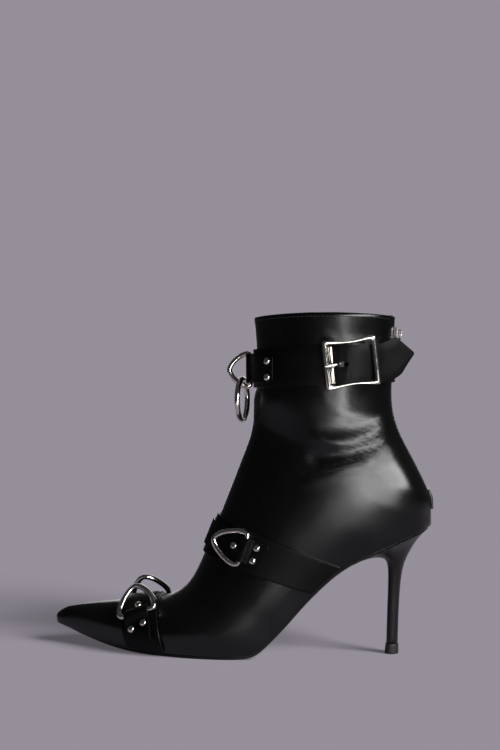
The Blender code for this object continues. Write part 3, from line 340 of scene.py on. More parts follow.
def leather_grain_group():
    """Make the node group for the pores and the low swell of finished leather."""
    group = bpy.data.node_groups.new("leather_grain", "ShaderNodeTree")
    group.interface.new_socket("Place", in_out="INPUT", socket_type="NodeSocketVector")
    group.interface.new_socket("Pores Per Metre", in_out="INPUT", socket_type="NodeSocketFloat")
    group.interface.new_socket("Height", in_out="OUTPUT", socket_type="NodeSocketFloat")
    group.interface.new_socket("Patch", in_out="OUTPUT", socket_type="NodeSocketFloat")
    nodes, links = group.nodes, group.links
    given = nodes.new("NodeGroupInput")
    made = nodes.new("NodeGroupOutput")
    pores = nodes.new("ShaderNodeTexVoronoi")
    pores.feature = "DISTANCE_TO_EDGE"
    links.new(given.outputs["Place"], pores.inputs["Vector"])
    links.new(given.outputs["Pores Per Metre"], pores.inputs["Scale"])
    cells = nodes.new("ShaderNodeMapRange")
    cells.inputs["From Max"].default_value = 0.25
    links.new(pores.outputs["Distance"], cells.inputs["Value"])
    swell = nodes.new("ShaderNodeTexNoise")
    swell.inputs["Scale"].default_value = 420.0
    swell.inputs["Detail"].default_value = 4.0
    links.new(given.outputs["Place"], swell.inputs["Vector"])
    together = nodes.new("ShaderNodeMath")
    together.operation = "ADD"
    links.new(cells.outputs["Result"], together.inputs[0])
    links.new(swell.outputs["Fac"], together.inputs[1])
    links.new(together.outputs["Value"], made.inputs["Height"])
    patch = nodes.new("ShaderNodeTexNoise")
    patch.inputs["Scale"].default_value = 55.0
    patch.inputs["Detail"].default_value = 3.0
    links.new(given.outputs["Place"], patch.inputs["Vector"])
    links.new(patch.outputs["Fac"], made.inputs["Patch"])
    return group


leather_grain = leather_grain_group()
# A wrinkle is noise that changes more slowly along its fold, by this many units a metre, than across it.
ALONG_WRINKLE = 300.0
WRINKLE_DEPTH = 0.05 * MM
NOISE_MIDDLE = 0.5


def leather(name, dark, light, smoothest, roughest, pores, depth, shine=0.4, folded=False):
    """Make a leather finish with grain, patches of tone and gloss, and fine wrinkles where it is folded."""
    finish = bpy.data.materials.new(name)
    finish.use_nodes = True
    nodes, links = finish.node_tree.nodes, finish.node_tree.links
    skin = nodes["Principled BSDF"]
    skin.inputs["Specular IOR Level"].default_value = shine
    place = nodes.new("ShaderNodeTexCoord")
    grain = nodes.new("ShaderNodeGroup")
    grain.node_tree = leather_grain
    grain.inputs["Pores Per Metre"].default_value = pores
    links.new(place.outputs["Object"], grain.inputs["Place"])
    tone = nodes.new("ShaderNodeMix")
    tone.data_type = "RGBA"
    tone.inputs["A"].default_value = (*dark, 1.0)
    tone.inputs["B"].default_value = (*light, 1.0)
    links.new(grain.outputs["Patch"], tone.inputs["Factor"])
    links.new(tone.outputs["Result"], skin.inputs["Base Color"])
    gloss = nodes.new("ShaderNodeMapRange")
    gloss.inputs["From Min"].default_value = 0.3
    gloss.inputs["From Max"].default_value = 0.7
    gloss.inputs["To Min"].default_value = smoothest
    gloss.inputs["To Max"].default_value = roughest
    links.new(grain.outputs["Patch"], gloss.inputs["Value"])
    links.new(gloss.outputs["Result"], skin.inputs["Roughness"])
    relief = nodes.new("ShaderNodeBump")
    relief.inputs["Strength"].default_value = 1.0
    relief.inputs["Distance"].default_value = depth
    links.new(grain.outputs["Height"], relief.inputs["Height"])
    links.new(relief.outputs["Normal"], skin.inputs["Normal"])
    if folded:
        runs = nodes.new("ShaderNodeAttribute")
        runs.attribute_name = "wrinkle_runs"
        shares = nodes.new("ShaderNodeAttribute")
        shares.attribute_name = "wrinkle_shares"
        run_of = nodes.new("ShaderNodeSeparateXYZ")
        share_of = nodes.new("ShaderNodeSeparateXYZ")
        length = nodes.new("ShaderNodeSeparateXYZ")
        links.new(runs.outputs["Vector"], run_of.inputs["Vector"])
        links.new(shares.outputs["Vector"], share_of.inputs["Vector"])
        links.new(place.outputs["Object"], length.inputs["Vector"])
        depth_here = None
        for family, along_axis in (("X", "X"), ("Y", "Z"), ("Z", "Z")):
            along = nodes.new("ShaderNodeMath")
            along.operation = "MULTIPLY"
            along.inputs[1].default_value = ALONG_WRINKLE
            links.new(length.outputs[along_axis], along.inputs[0])
            stretched = nodes.new("ShaderNodeCombineXYZ")
            links.new(run_of.outputs[family], stretched.inputs["X"])
            links.new(along.outputs["Value"], stretched.inputs["Y"])
            lines = nodes.new("ShaderNodeTexNoise")
            lines.inputs["Scale"].default_value = 0.75
            lines.inputs["Detail"].default_value = 2.0
            lines.inputs["Distortion"].default_value = 0.5
            links.new(stretched.outputs["Vector"], lines.inputs["Vector"])
            middle = nodes.new("ShaderNodeMath")
            middle.operation = "SUBTRACT"
            middle.inputs[1].default_value = NOISE_MIDDLE
            links.new(lines.outputs["Fac"], middle.inputs[0])
            away = nodes.new("ShaderNodeMath")
            away.operation = "ABSOLUTE"
            links.new(middle.outputs["Value"], away.inputs[0])
            groove = nodes.new("ShaderNodeMapRange")
            groove.inputs["From Max"].default_value = 0.13
            links.new(away.outputs["Value"], groove.inputs["Value"])
            adding = nodes.new("ShaderNodeMath")
            adding.operation = "MULTIPLY_ADD"
            links.new(groove.outputs["Result"], adding.inputs[0])
            links.new(share_of.outputs[family], adding.inputs[1])
            if depth_here:
                links.new(depth_here.outputs["Value"], adding.inputs[2])
            else:
                adding.inputs[2].default_value = 0.0
            depth_here = adding
        creases = nodes.new("ShaderNodeBump")
        creases.inputs["Strength"].default_value = 1.0
        creases.inputs["Distance"].default_value = WRINKLE_DEPTH
        links.new(depth_here.outputs["Value"], creases.inputs["Height"])
        links.new(creases.outputs["Normal"], relief.inputs["Normal"])
    return finish


black_calf = leather("black_calf", dark=(0.0012, 0.0012, 0.0012), light=(0.0022, 0.0022, 0.0022),
                     smoothest=0.21, roughest=0.27, pores=1500.0, depth=0.012 * MM, folded=True)
lining = leather("lining_leather", dark=(0.012, 0.010, 0.009), light=(0.022, 0.018, 0.016),
                 smoothest=0.5, roughest=0.65, pores=1900.0, depth=0.02 * MM)
upper.data.materials.append(black_calf)
upper.data.materials.append(lining)
fit(upper, "boot", "black_leather", "upper")


# The insole is a thin board covered in lining leather. It is cut to the bottom of the last and glued down
# inside the upper.
insole_finish = leather("insole_sock", dark=(0.014, 0.012, 0.011), light=(0.024, 0.020, 0.018),
                        smoothest=0.45, roughest=0.6, pores=1900.0, depth=0.02 * MM)
insole = take_solid("insole", "insole_sock")
cut_clean(insole, levels=1, edge_round=0.4 * MM)
insole.data.materials.append(insole_finish)
fit(insole, "boot", "insole_leather", "insole")


# The outsole is one thin piece of dyed sole leather with a burnished edge. It is cemented under the turned
# edge of the upper from the toe to the back of the heel seat, and the heel is fixed under it there.
outsole = take_solid("outsole", "sole")
SOLE_INSET = 1.0 * MM
TIP_INSET = 1.8 * MM
TIP_BEHIND, TIP_END = 112.0, 121.0
EDGE_FACING = 0.3
edge_ways = [Vector((point.normal.x, point.normal.y, 0.0)) for point in outsole.data.vertices]
for point, way in zip(outsole.data.vertices, edge_ways):
    if way.length > EDGE_FACING:
        point.co -= way.normalized() * SOLE_INSET
    place = point.co.x / MM
    point.co.z -= np.interp(place, drop_places, drops) * MM
    point.co.x += TIP_INSET * step(-place, TIP_BEHIND, TIP_END)
cut_clean(outsole, levels=2, edge_round=0.35 * MM)
sole_finish = leather("sole_leather", dark=(0.0030, 0.0024, 0.0023), light=(0.007, 0.0056, 0.005),
                      smoothest=0.4, roughest=0.55, pores=900.0, depth=0.015 * MM, shine=0.2)
outsole.data.materials.append(sole_finish)
fit(outsole, "boot", "sole_leather", "outsole")


# The heel is a slim moulded stem covered in black leather. Its top is hollowed to the seat, and it is fixed
# there from inside.
heel = take_solid("heel", "covered_heel")
keep_corners(heel, angle=60, hold=0.9)
smooth_over(heel, levels=3)
heel_finish = leather("heel_cover", dark=(0.0045, 0.0040, 0.0043), light=(0.008, 0.007, 0.0075),
                      smoothest=0.3, roughest=0.4, pores=1500.0, depth=0.015 * MM)
heel.data.materials.append(heel_finish)
fit(heel, "boot", "heel_cover", "heel")


# The top piece is a small pad of hard rubber, which meets the ground. It is cut to the heel's outline and
# pinned to the end of its stem.
top_piece = take_solid("top_piece", "heel_tip")
cut_clean(top_piece, levels=2, edge_round=0.4 * MM)
rubber = leather("heel_rubber", dark=(0.010, 0.010, 0.010), light=(0.018, 0.017, 0.017),
                 smoothest=0.5, roughest=0.65, pores=2600.0, depth=0.01 * MM)
top_piece.data.materials.append(rubber)
fit(top_piece, "boot", "heel_rubber", "top_piece")


# The zip closes the back seam. Its black woven tape is sewn under the leather's edges and carries two rows
# of teeth.
ZIP_LINE = (
    # height up the back seam, and how far back the tops of the teeth lie there
    (102.8, 120.95),
    (116.2, 114.80),
    (131.7, 106.45),
    (145.9, 99.30),
    (160.0, 96.60),
    (173.5, 97.00),
    (186.6, 97.50),
    (198.0, 98.00),
    (207.5, 98.60),
    (215.9, 99.20),
)
TEETH_TALL = 1.1
TEETH_PITCH = 1.3
TEETH_ASIDE = 0.95
TEETH_LOW, TEETH_HIGH = 105.0, 198.5
SLOPE_REACH = 2.0
zip_heights = np.array([height for height, back in ZIP_LINE])
zip_backs = np.array([back for height, back in ZIP_LINE])


def zip_place(height):
    """Return the point on the tops of the teeth at a height, and the directions up the zip and out of it."""
    back = np.interp(height, zip_heights, zip_backs)
    back_below, back_above = np.interp((height - SLOPE_REACH, height + SLOPE_REACH), zip_heights, zip_backs)
    up_zip = Vector((back_above - back_below, 0.0, 2.0 * SLOPE_REACH)).normalized()
    out = Vector((up_zip.z, 0.0, -up_zip.x))
    return Vector((back * MM, BOOT_MIDDLE_Y, height * MM)), up_zip, out


def set_out(sample, places, name):
    """Copy one small piece to each place, join the copies into one piece, and drop the sample."""
    copies = []
    for place in places:
        copy = sample.copy()
        copy.data = sample.data.copy()
        copy.data.transform(place)
        bpy.context.scene.collection.objects.link(copy)
        copies.append(copy)
    bpy.data.objects.remove(sample)
    bpy.ops.object.select_all(action="DESELECT")
    for copy in copies:
        copy.select_set(True)
    bpy.context.view_layer.objects.active = copies[0]
    bpy.ops.object.join()
    copies[0].name = name
    return copies[0]


def axes_at(point, along, across, out):
    """Return the matrix that puts a small piece at a point, lying along one way and facing another."""
    return Matrix.Translation(point) @ Matrix((along, across, out)).transposed().to_4x4()


TEETH_HALF_WIDE, TEETH_DEEP = 2.9 * MM, 0.7 * MM
tape = take_solid("zip", "zip_tape")
for point in tape.data.vertices:
    top, up_zip, out = zip_place(point.co.z / MM)
    if abs(point.co.y - BOOT_MIDDLE_Y) < TEETH_HALF_WIDE and (point.co - top).dot(out) > -TEETH_DEEP:
        point.co -= out * (TEETH_TALL * MM)
cut_clean(tape, levels=2, edge_round=0.12 * MM)


def woven_tape(name):
    """Make the black twill of a zip tape."""
    finish = bpy.data.materials.new(name)
    finish.use_nodes = True
    nodes, links = finish.node_tree.nodes, finish.node_tree.links
    cloth = nodes["Principled BSDF"]
    cloth.inputs["Roughness"].default_value = 0.7
    place = nodes.new("ShaderNodeTexCoord")
    twill = nodes.new("ShaderNodeTexWave")
    twill.inputs["Scale"].default_value = 700.0
    twill.inputs["Distortion"].default_value = 0.6
    links.new(place.outputs["Object"], twill.inputs["Vector"])
    tone = nodes.new("ShaderNodeMix")
    tone.data_type = "RGBA"
    tone.inputs["A"].default_value = (0.006, 0.006, 0.006, 1.0)
    tone.inputs["B"].default_value = (0.016, 0.015, 0.016, 1.0)
    links.new(twill.outputs["Fac"], tone.inputs["Factor"])
    links.new(tone.outputs["Result"], cloth.inputs["Base Color"])
    relief = nodes.new("ShaderNodeBump")
    relief.inputs["Distance"].default_value = 0.0001
    links.new(twill.outputs["Fac"], relief.inputs["Height"])
    links.new(relief.outputs["Normal"], cloth.inputs["Normal"])
    return finish


tape.data.materials.append(woven_tape("zip_tape"))
fit(tape, "boot", "zip_tape", "zip")


# The slider and its pull are cast metal with a dull nickel plate. The slider runs on the teeth, and the pull
# hangs from the slider's bridge.
def nickel(name, dark, light, smoothest, roughest):
    """Make nickel plate with faint smears in its tone and gloss."""
    finish = bpy.data.materials.new(name)
    finish.use_nodes = True
    nodes, links = finish.node_tree.nodes, finish.node_tree.links
    metal = nodes["Principled BSDF"]
    metal.inputs["Metallic"].default_value = 1.0
    place = nodes.new("ShaderNodeTexCoord")
    smear = nodes.new("ShaderNodeTexNoise")
    smear.inputs["Scale"].default_value = 160.0
    smear.inputs["Detail"].default_value = 5.0
    links.new(place.outputs["Object"], smear.inputs["Vector"])
    tone = nodes.new("ShaderNodeMix")
    tone.data_type = "RGBA"
    tone.inputs["A"].default_value = (*dark, 1.0)
    tone.inputs["B"].default_value = (*light, 1.0)
    links.new(smear.outputs["Fac"], tone.inputs["Factor"])
    links.new(tone.outputs["Result"], metal.inputs["Base Color"])
    gloss = nodes.new("ShaderNodeMapRange")
    gloss.inputs["From Min"].default_value = 0.3
    gloss.inputs["From Max"].default_value = 0.7
    gloss.inputs["To Min"].default_value = smoothest
    gloss.inputs["To Max"].default_value = roughest
    links.new(smear.outputs["Fac"], gloss.inputs["Value"])
    links.new(gloss.outputs["Result"], metal.inputs["Roughness"])
    return finish


polished_nickel = nickel("polished_nickel", dark=(0.64, 0.60, 0.55), light=(0.76, 0.73, 0.69),
                         smoothest=0.08, roughest=0.18)
dull_nickel = nickel("dull_nickel", dark=(0.34, 0.32, 0.30), light=(0.46, 0.44, 0.42),
                     smoothest=0.24, roughest=0.38)
for node, name, body in (("zip_slider", "slider", "boot"), ("zip_pull", "slider_pull", "zip_pull")):
    part = take_solid(node, name)
    cut_clean(part, levels=2, edge_round=0.3 * MM)
    part.data.materials.append(dull_nickel)
    fit(part, body, "polished_nickel", node)


# The zip's teeth are small blocks of dark metal clenched along the two tape edges, which mesh in turn, and
# a patch of the boot's leather is sewn over their lower end.
TOOTH_LONG, TOOTH_WIDE = 0.8 * MM, 2.5 * MM
TOOTH_ROOT, TOOTH_SUNK = 1.1, 0.45
bpy.ops.object.select_all(action="DESELECT")
bpy.ops.mesh.primitive_cube_add(size=1.0)
tooth = bpy.context.object
tooth.data.transform(Matrix.Diagonal((TOOTH_LONG, TOOTH_WIDE, TEETH_TALL * MM * TOOTH_ROOT, 1.0)))
shape_with(tooth, "BEVEL", width=0.2 * MM, segments=1)
bpy.ops.object.shade_smooth()
places = []
height = TEETH_LOW
while height < TEETH_HIGH:
    top, up_zip, out = zip_place(height)
    across_zip = out.cross(up_zip)
    aside = TEETH_ASIDE if len(places) % 2 else -TEETH_ASIDE
    middle = top - out * (TOOTH_SUNK * TEETH_TALL * MM) + across_zip * (aside * MM)
    places.append(axes_at(middle, up_zip, across_zip, out))
    height += TEETH_PITCH * up_zip.z
teeth = set_out(tooth, places, "zip_teeth")
dark_teeth = nickel("dark_teeth", dark=(0.05, 0.046, 0.05), light=(0.11, 0.10, 0.105),
                    smoothest=0.25, roughest=0.4)
teeth.data.materials.append(dark_teeth)
fit(teeth, "boot", "polished_nickel")

PATCH_LOW, PATCH_HIGH, PATCH_HALF, PATCH_BACK = 92.5, 106.5, 6.2, 122.5
bpy.ops.object.select_all(action="DESELECT")
bpy.ops.mesh.primitive_grid_add(x_subdivisions=12, y_subdivisions=12, size=1.0)
patch = bpy.context.object
patch.name = "zip_end_patch"
patch_middle = Vector((PATCH_BACK * MM, BOOT_MIDDLE_Y, (PATCH_LOW + PATCH_HIGH) / 2 * MM))
patch.data.transform(Matrix.Diagonal((PATCH_HALF * 2 * MM, (PATCH_HIGH - PATCH_LOW) * MM, 1.0, 1.0)))
patch.data.transform(axes_at(patch_middle, Vector((0, -1, 0)), Vector((0, 0, 1)), Vector((-1, 0, 0))))
shape_with(patch, "SHRINKWRAP", target=upper, wrap_method="NEAREST_SURFACEPOINT", offset=0.25 * MM)
shape_with(patch, "SMOOTH", factor=0.5, iterations=6)
shape_with(patch, "SOLIDIFY", thickness=1.1 * MM, offset=-1.0)
shape_with(patch, "BEVEL", width=0.35 * MM, segments=2, limit_method="ANGLE", angle_limit=math.radians(40))
smooth_over(patch, levels=1)
patch.data.materials.append(black_calf)
fit(patch, "boot", "black_leather")


# Rows of black thread hold the leather to the zip tape and the lining to the collar: short stitches of
# twisted thread, one after another, pulled a little into the leather.
thread = bpy.data.materials.new("black_thread")
thread.use_nodes = True
thread_nodes, thread_links = thread.node_tree.nodes, thread.node_tree.links
yarn = thread_nodes["Principled BSDF"]
yarn.inputs["Roughness"].default_value = 0.55
thread_place = thread_nodes.new("ShaderNodeTexCoord")
twist = thread_nodes.new("ShaderNodeTexWave")
twist.inputs["Scale"].default_value = 900.0
thread_links.new(thread_place.outputs["Object"], twist.inputs["Vector"])
yarn_tone = thread_nodes.new("ShaderNodeMix")
yarn_tone.data_type = "RGBA"
yarn_tone.inputs["A"].default_value = (0.006, 0.006, 0.006, 1.0)
yarn_tone.inputs["B"].default_value = (0.022, 0.021, 0.022, 1.0)
thread_links.new(twist.outputs["Fac"], yarn_tone.inputs["Factor"])
thread_links.new(yarn_tone.outputs["Result"], yarn.inputs["Base Color"])
leather_shape = bmesh.new()
leather_shape.from_mesh(upper.data)
leather_face = BVHTree.FromBMesh(leather_shape)
leather_shape.free()


STITCH_ENDS = math.radians(60)
STITCH_PROUD = 0.2


def one_stitch(length, thick):
    """Model one stitch: a short bar, rounded along its length."""
    lying = (0, math.pi / 2, 0)
    bpy.ops.object.select_all(action="DESELECT")
    bpy.ops.mesh.primitive_cylinder_add(vertices=6, radius=thick / 2, depth=length, rotation=lying)
    bpy.ops.object.transform_apply(location=False, rotation=True, scale=False)
    stitch = bpy.context.object
    shape_with(stitch, "BEVEL", width=thick / 4, segments=1, limit_method="ANGLE", angle_limit=STITCH_ENDS)
    bpy.ops.object.shade_smooth()
    return stitch


def stitch_row(spots, length, thick, name):
    """Lay stitches along points on the leather, each facing out of it."""
    places = []
    for (here, out), following in zip(spots, spots[1:]):
        along = (following[0] - here).normalized()
        across_row = out.cross(along).normalized()
        raised = here + out * (thick * STITCH_PROUD)
        places.append(axes_at(raised, along, across_row, along.cross(across_row)))
    row = set_out(one_stitch(length, thick), places, name)
    row.data.materials.append(thread)
    fit(row, "boot", "black_leather")


SEAM_ASIDE = 5.8
SEAM_STEP = 2.9
SEAM_LOW, SEAM_HIGH = 108.0, 171.0
OFF_ZIP = 12.0 * MM
for side, name in ((-1.0, "zip_stitches_outer"), (1.0, "zip_stitches_inner")):
    spots = []
    height = SEAM_LOW
    while height < SEAM_HIGH:
        top, up_zip, out = zip_place(height)
        start = top + out * OFF_ZIP + Vector((0.0, side * SEAM_ASIDE * MM, 0.0))
        met = leather_face.ray_cast(start, -out)
        if met[0]:
            spots.append((met[0], met[1]))
        height += SEAM_STEP * up_zip.z
    stitch_row(spots, length=2.1 * MM, thick=0.5 * MM, name=name)

COLLAR_ROW = 2.3
COLLAR_STEP = 2.6
COLLAR_CENTRE = Vector((56.0 * MM, BOOT_MIDDLE_Y, 0.0))
ROW_START, ROW_END, BARE_STEP = math.radians(12), math.radians(348), math.radians(3)
EDGE_HIGH, EDGE_LOW, EDGE_STEP = 216.8 * MM, 200.0 * MM, 0.2 * MM
OFF_COLLAR, EDGE_WITHIN = 0.09, 0.06
spots = []
turn = ROW_START
while turn < ROW_END:
    outwards = Vector((math.cos(turn), math.sin(turn), 0.0))
    beside = COLLAR_CENTRE + outwards * OFF_COLLAR
    height = EDGE_HIGH
    met = (None,)
    while met[0] is None and height > EDGE_LOW:
        height -= EDGE_STEP
        met = leather_face.ray_cast(beside + Vector((0, 0, height)), -outwards, EDGE_WITHIN)
    met = leather_face.ray_cast(beside + Vector((0, 0, height - COLLAR_ROW * MM)), -outwards)
    if met[0]:
        spots.append((met[0], met[1]))
        turn += COLLAR_STEP * MM / (met[0] - COLLAR_CENTRE).to_2d().length
    else:
        turn += BARE_STEP
stitch_row(spots, length=1.9 * MM, thick=0.45 * MM, name="collar_stitches")


# The straps are strips of firm black leather with painted edges: one buckled round the ankle, one over the
# instep and one over the toe, the last two caught under the sole.
strap_leather = leather("strap_leather", dark=(0.0015, 0.0015, 0.0016), light=(0.0028, 0.0028, 0.0030),
                        smoothest=0.42, roughest=0.52, pores=1300.0, depth=0.015 * MM, shine=0.1)
# The edge coat is real, glossier than the grain, but its tone is a shade lighter than the strap: a painted
# highlight for the light that the cut edges catch.
edge_paint_and_highlight = leather("edge_paint_and_highlight", dark=(0.003, 0.003, 0.003), light=(0.006, 0.006, 0.006),
                     smoothest=0.28, roughest=0.36, pores=900.0, depth=0.01 * MM, shine=0.5)
STRAPS = (
    # solid, piece
    ("ankle_strap", "ankle_belt"),
    ("instep_strap", "instep_belt"),
    ("toe_strap", "toe_belt"),
    ("ankle_tab", "ankle_keeper"),
    ("instep_tab", "instep_keeper"),
    ("toe_tab", "toe_keeper"),
)
KEEPER_MIDDLE, KEEPER_FLARE = 181.5 * MM, 0.27
KEEPER_FRONT, KEEPER_BACK = 6.0, 20.0
# A face is a painted edge where the leather behind it goes deeper than any strap is thick.
UNDER_FACE, PAST_THICKNESS = 0.05 * MM, 3.0 * MM
for node, name in STRAPS:
    strap = take_solid(node, name)
    if node == "ankle_tab":
        for point in strap.data.vertices:
            above = max(0.0, point.co.z - KEEPER_MIDDLE)
            point.co.z += above * KEEPER_FLARE * (1.0 - step(point.co.x / MM, KEEPER_FRONT, KEEPER_BACK))
    band = bmesh.new()
    band.from_mesh(strap.data)
    body = BVHTree.FromBMesh(band)
    for face in band.faces:
        inwards = body.ray_cast(face.calc_center_median() - face.normal * UNDER_FACE, -face.normal)
        face.material_index = 1 if inwards[3] and inwards[3] > PAST_THICKNESS else 0
    band.to_mesh(strap.data)
    band.free()
    cut_clean(strap, levels=2, edge_round=0.3 * MM)
    strap.data.materials.append(strap_leather)
    strap.data.materials.append(edge_paint_and_highlight)
    fit(strap, "boot", "strap_leather", node)


# The rings are bent and welded nickel-plated wire: a rounded triangle at the ankle with a round ring on it,
# and one rounded triangle on each side of the instep and of the toe.
# Smoothing thins the six-sided wire. This much is added all round, which leaves it half a millimetre thicker
# than its solid.
WIRE_ADDED = 0.52 * MM
RINGS = ("front_ring", "hanging_ring", "instep_ring_out", "instep_ring_in", "toe_ring_out", "toe_ring_in")
# Each toe ring is wider along its bar, and the hanging ring is larger about the point that it hangs from.
TOE_RING_SCALE = 1.15
HANGING_SCALE = 1.08
hinges = {joint["child"]: (Vector(joint["pos_m"]), Vector(joint["axis"])) for joint in frame["joints"]}
for node in RINGS:
    ring = take_solid(node, node + "_wire")
    pivot, bar = hinges[node]
    for point in ring.data.vertices:
        off = point.co - pivot
        if node.startswith("toe_ring"):
            point.co += bar * off.dot(bar) * (TOE_RING_SCALE - 1.0)
        elif node == "hanging_ring":
            point.co = pivot + off * HANGING_SCALE
    smooth_over(ring, levels=2)
    for point in ring.data.vertices:
        point.co += point.normal * WIRE_ADDED
    ring.data.materials.append(polished_nickel)
    fit(ring, node, "polished_nickel", node)


# The buckle is a cast frame, nickel-plated and waisted at its long sides. It has a wire prong on its middle
# bar and a roller on the side where the strap is drawn through. In its own frame on the strap it is turned,
# made a little smaller and moved towards the toe.
BUCKLE_TURN = math.radians(4)
BUCKLE_SCALE_WIDE, BUCKLE_SCALE_HIGH = 0.935, 0.945
BUCKLE_SHIFT = Vector((-2.5 * MM, 0.8 * MM, 0.0))
BUCKLE_MIDDLE = Vector((0.073969, -0.027691, 0.184964))
ALONG_STRAP = Vector((0.94672, 0.31698, 0.05700))
ACROSS_STRAP = Vector((-0.04488, -0.04543, 0.99796))
OUT_OF_STRAP = Vector((0.31893, -0.94734, -0.02878))
buckle_place = axes_at(BUCKLE_MIDDLE, ALONG_STRAP, ACROSS_STRAP, OUT_OF_STRAP)
settle = Matrix.Translation(BUCKLE_SHIFT) @ Matrix.Rotation(BUCKLE_TURN, 4, "Z")
settle = settle @ Matrix.Diagonal((BUCKLE_SCALE_WIDE, BUCKLE_SCALE_HIGH, 1.0, 1.0))
settle = buckle_place @ settle @ buckle_place.inverted()
PRONG_ROOT, PRONG_SHARE = -10.0 * MM, 0.45
for node, name, fuller in (("buckle", "buckle_frame", 0.1 * MM), ("buckle_prong", "prong", 0.3 * MM)):
    part = take_solid(node, name)
    part.data.transform(buckle_place.inverted())
    if node == "buckle_prong":
        for point in part.data.vertices:
            past_root = max(0.0, point.co.x - PRONG_ROOT)
            point.co.x -= past_root * (1.0 - PRONG_SHARE)
    part.data.transform(settle @ buckle_place)
    smooth_over(part, levels=3)
    for point in part.data.vertices:
        point.co += point.normal * fuller
    part.data.materials.append(polished_nickel)
    fit(part, "boot", "polished_nickel", node)

ROLLER_AT = Vector((-13.2 * MM, 0.0, 4.1 * MM))
ROLLER_RADIUS, ROLLER_LONG = 1.45 * MM, 24.0 * MM
bpy.ops.object.select_all(action="DESELECT")
bpy.ops.mesh.primitive_cylinder_add(vertices=16, radius=ROLLER_RADIUS, depth=ROLLER_LONG)
roller = bpy.context.object
roller.name = "buckle_roller"
roller_place = settle @ buckle_place @ Matrix.Translation(ROLLER_AT)
roller.data.transform(roller_place @ Matrix.Rotation(math.pi / 2, 4, "X"))
cut_clean(roller, levels=1, edge_round=0.25 * MM)
roller.data.materials.append(polished_nickel)
fit(roller, "boot", "polished_nickel")


# The rivets are small domed caps of nickel-plated metal, set through the straps in twos and threes and
# clenched behind them.
CAP_WIDER = 1.22
RIVETS = [f"ankle_rivet_{number}" for number in range(1, 5)]
RIVETS += [f"{place}_rivet_{number}" for place in ("instep", "toe") for number in range(1, 7)]
for node in RIVETS:
    rivet = take_solid(node, node + "_cap")
    keep_corners(rivet, angle=70, hold=0.6)
    smooth_over(rivet, levels=2)
    cloud = np.array([point.co for point in rivet.data.vertices])
    middle = Vector(cloud.mean(axis=0))
    axis = Vector(np.linalg.svd(cloud - cloud.mean(axis=0))[2][2])
    for point in rivet.data.vertices:
        off = point.co - middle
        point.co = middle + (off - axis * off.dot(axis)) * CAP_WIDER + axis * off.dot(axis)
    rivet.data.materials.append(polished_nickel)
    fit(rivet, "boot", "polished_nickel", node)


# The studio has a plain grey paper floor and a broad window light. A near low panel and a long slanted one
# at the heel side give the leather its lit bands, and weaker panels stand behind and above.
PAPER_TONE = (0.30, 0.275, 0.319, 1.0)
FLOOR_SIZE = 1.6
FLOOR_BACK = 0.32
bpy.ops.object.select_all(action="DESELECT")
bpy.ops.mesh.primitive_plane_add(size=FLOOR_SIZE, location=(0.0, FLOOR_BACK, 0.0))
bpy.ops.object.transform_apply(location=True, rotation=False, scale=False)
floor = bpy.context.object
floor.name = "floor"
floor_finish = bpy.data.materials.new("floor_paper")
floor_finish.use_nodes = True
paper = floor_finish.node_tree.nodes["Principled BSDF"]
paper.inputs["Base Color"].default_value = PAPER_TONE
paper.inputs["Roughness"].default_value = 1.0
paper.inputs["Specular IOR Level"].default_value = 0.0
paper.inputs["Emission Color"].default_value = PAPER_TONE
paper.inputs["Emission Strength"].default_value = 0.294
floor.data.materials.append(floor_finish)

world = bpy.data.worlds.new("studio")
world.use_nodes = True
bpy.context.scene.world = world
air, air_links = world.node_tree.nodes, world.node_tree.links
rays = air.new("ShaderNodeLightPath")
paper_air = air.new("ShaderNodeBackground")
paper_air.inputs["Color"].default_value = PAPER_TONE
dim_air = air["Background"]
dim_air.inputs["Color"].default_value = (0.04, 0.04, 0.042, 1.0)
mixed = air.new("ShaderNodeMixShader")
air_links.new(rays.outputs["Is Camera Ray"], mixed.inputs["Fac"])
air_links.new(dim_air.outputs["Background"], mixed.inputs[1])
air_links.new(paper_air.outputs["Background"], mixed.inputs[2])
air_links.new(mixed.outputs["Shader"], air["World Output"].inputs["Surface"])

WINDOW_WAY = Vector((-0.75, 0.35, -0.55))
sun_data = bpy.data.lights.new("window", "SUN")
sun_data.energy = 3.79
sun_data.angle = math.radians(28)
sun = bpy.data.objects.new("window", sun_data)
bpy.context.scene.collection.objects.link(sun)
sun.rotation_euler = WINDOW_WAY.to_track_quat("-Z", "Y").to_euler()
sun.visible_glossy = False

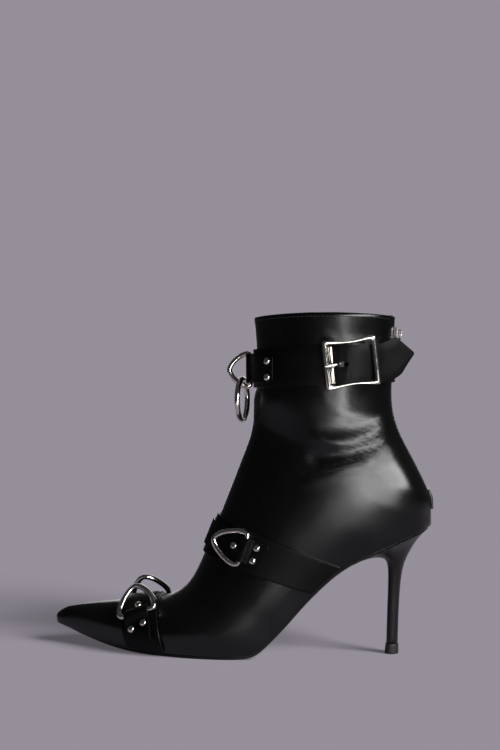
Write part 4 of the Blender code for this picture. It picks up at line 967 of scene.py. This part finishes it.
# Each soft panel faces the ankle. It lies so many degrees round from straight out of the outer side towards
# the heel, and so many up, and is rolled until its far end is higher than its near end.
AIM = Vector((0.08, -0.02, 0.12))
SOFT_LIGHTS = (
    # name, degrees round, degrees up, roll, distance, width, height, power
    ("soft_low", 15.0, -5.5, 26.0, 0.3, 0.19, 0.054, 0.55),
    ("soft_side", 51.0, 20.0, 27.0, 1.6, 1.75, 0.25, 33.0),
    ("soft_back", -173.0, 8.0, 0.0, 1.6, 1.0, 0.7, 3.0),
    ("soft_top", 135.0, 82.0, 0.0, 1.6, 0.9, 0.9, 0.3),
)
for name, degrees_round, degrees_up, roll, distance, width, height, power in SOFT_LIGHTS:
    panel = bpy.data.lights.new(name, "AREA")
    panel.shape = "RECTANGLE"
    panel.size = width
    panel.size_y = height
    panel.energy = power
    lamp = bpy.data.objects.new(name, panel)
    bpy.context.scene.collection.objects.link(lamp)
    turned, raised = math.radians(degrees_round), math.radians(degrees_up)
    away = Vector((
        math.cos(raised) * math.sin(turned),
        -math.cos(raised) * math.cos(turned),
        math.sin(raised),
    ))
    level = Vector((math.cos(turned), math.sin(turned), 0.0))
    facing = Matrix((level, away.cross(level), away)).transposed()
    lamp.location = AIM + away * distance
    lamp.rotation_euler = (facing @ Matrix.Rotation(math.radians(roll), 3, "Z")).to_euler()
    lamp.visible_diffuse = False
    lamp.visible_camera = False

# The camera stands level, a little behind the boot's middle, as far off as the photograph's was.
CAMERA_TURN = math.radians(7)
CAMERA_FACES_X = 0.0058
CAMERA_AWAY = 0.80
CAMERA_HEIGHT = 0.178
camera_data = bpy.data.cameras.new("camera")
camera_data.lens = 59.08
camera_data.sensor_width = 36.0
camera = bpy.data.objects.new("camera", camera_data)
bpy.context.scene.collection.objects.link(camera)
camera.location = (
    CAMERA_FACES_X + CAMERA_AWAY * math.sin(CAMERA_TURN),
    BOOT_MIDDLE_Y - CAMERA_AWAY * math.cos(CAMERA_TURN),
    CAMERA_HEIGHT,
)
camera.rotation_euler = (math.radians(90), 0.0, CAMERA_TURN)
bpy.context.scene.camera = camera
bpy.context.scene.view_settings.view_transform = "Standard"
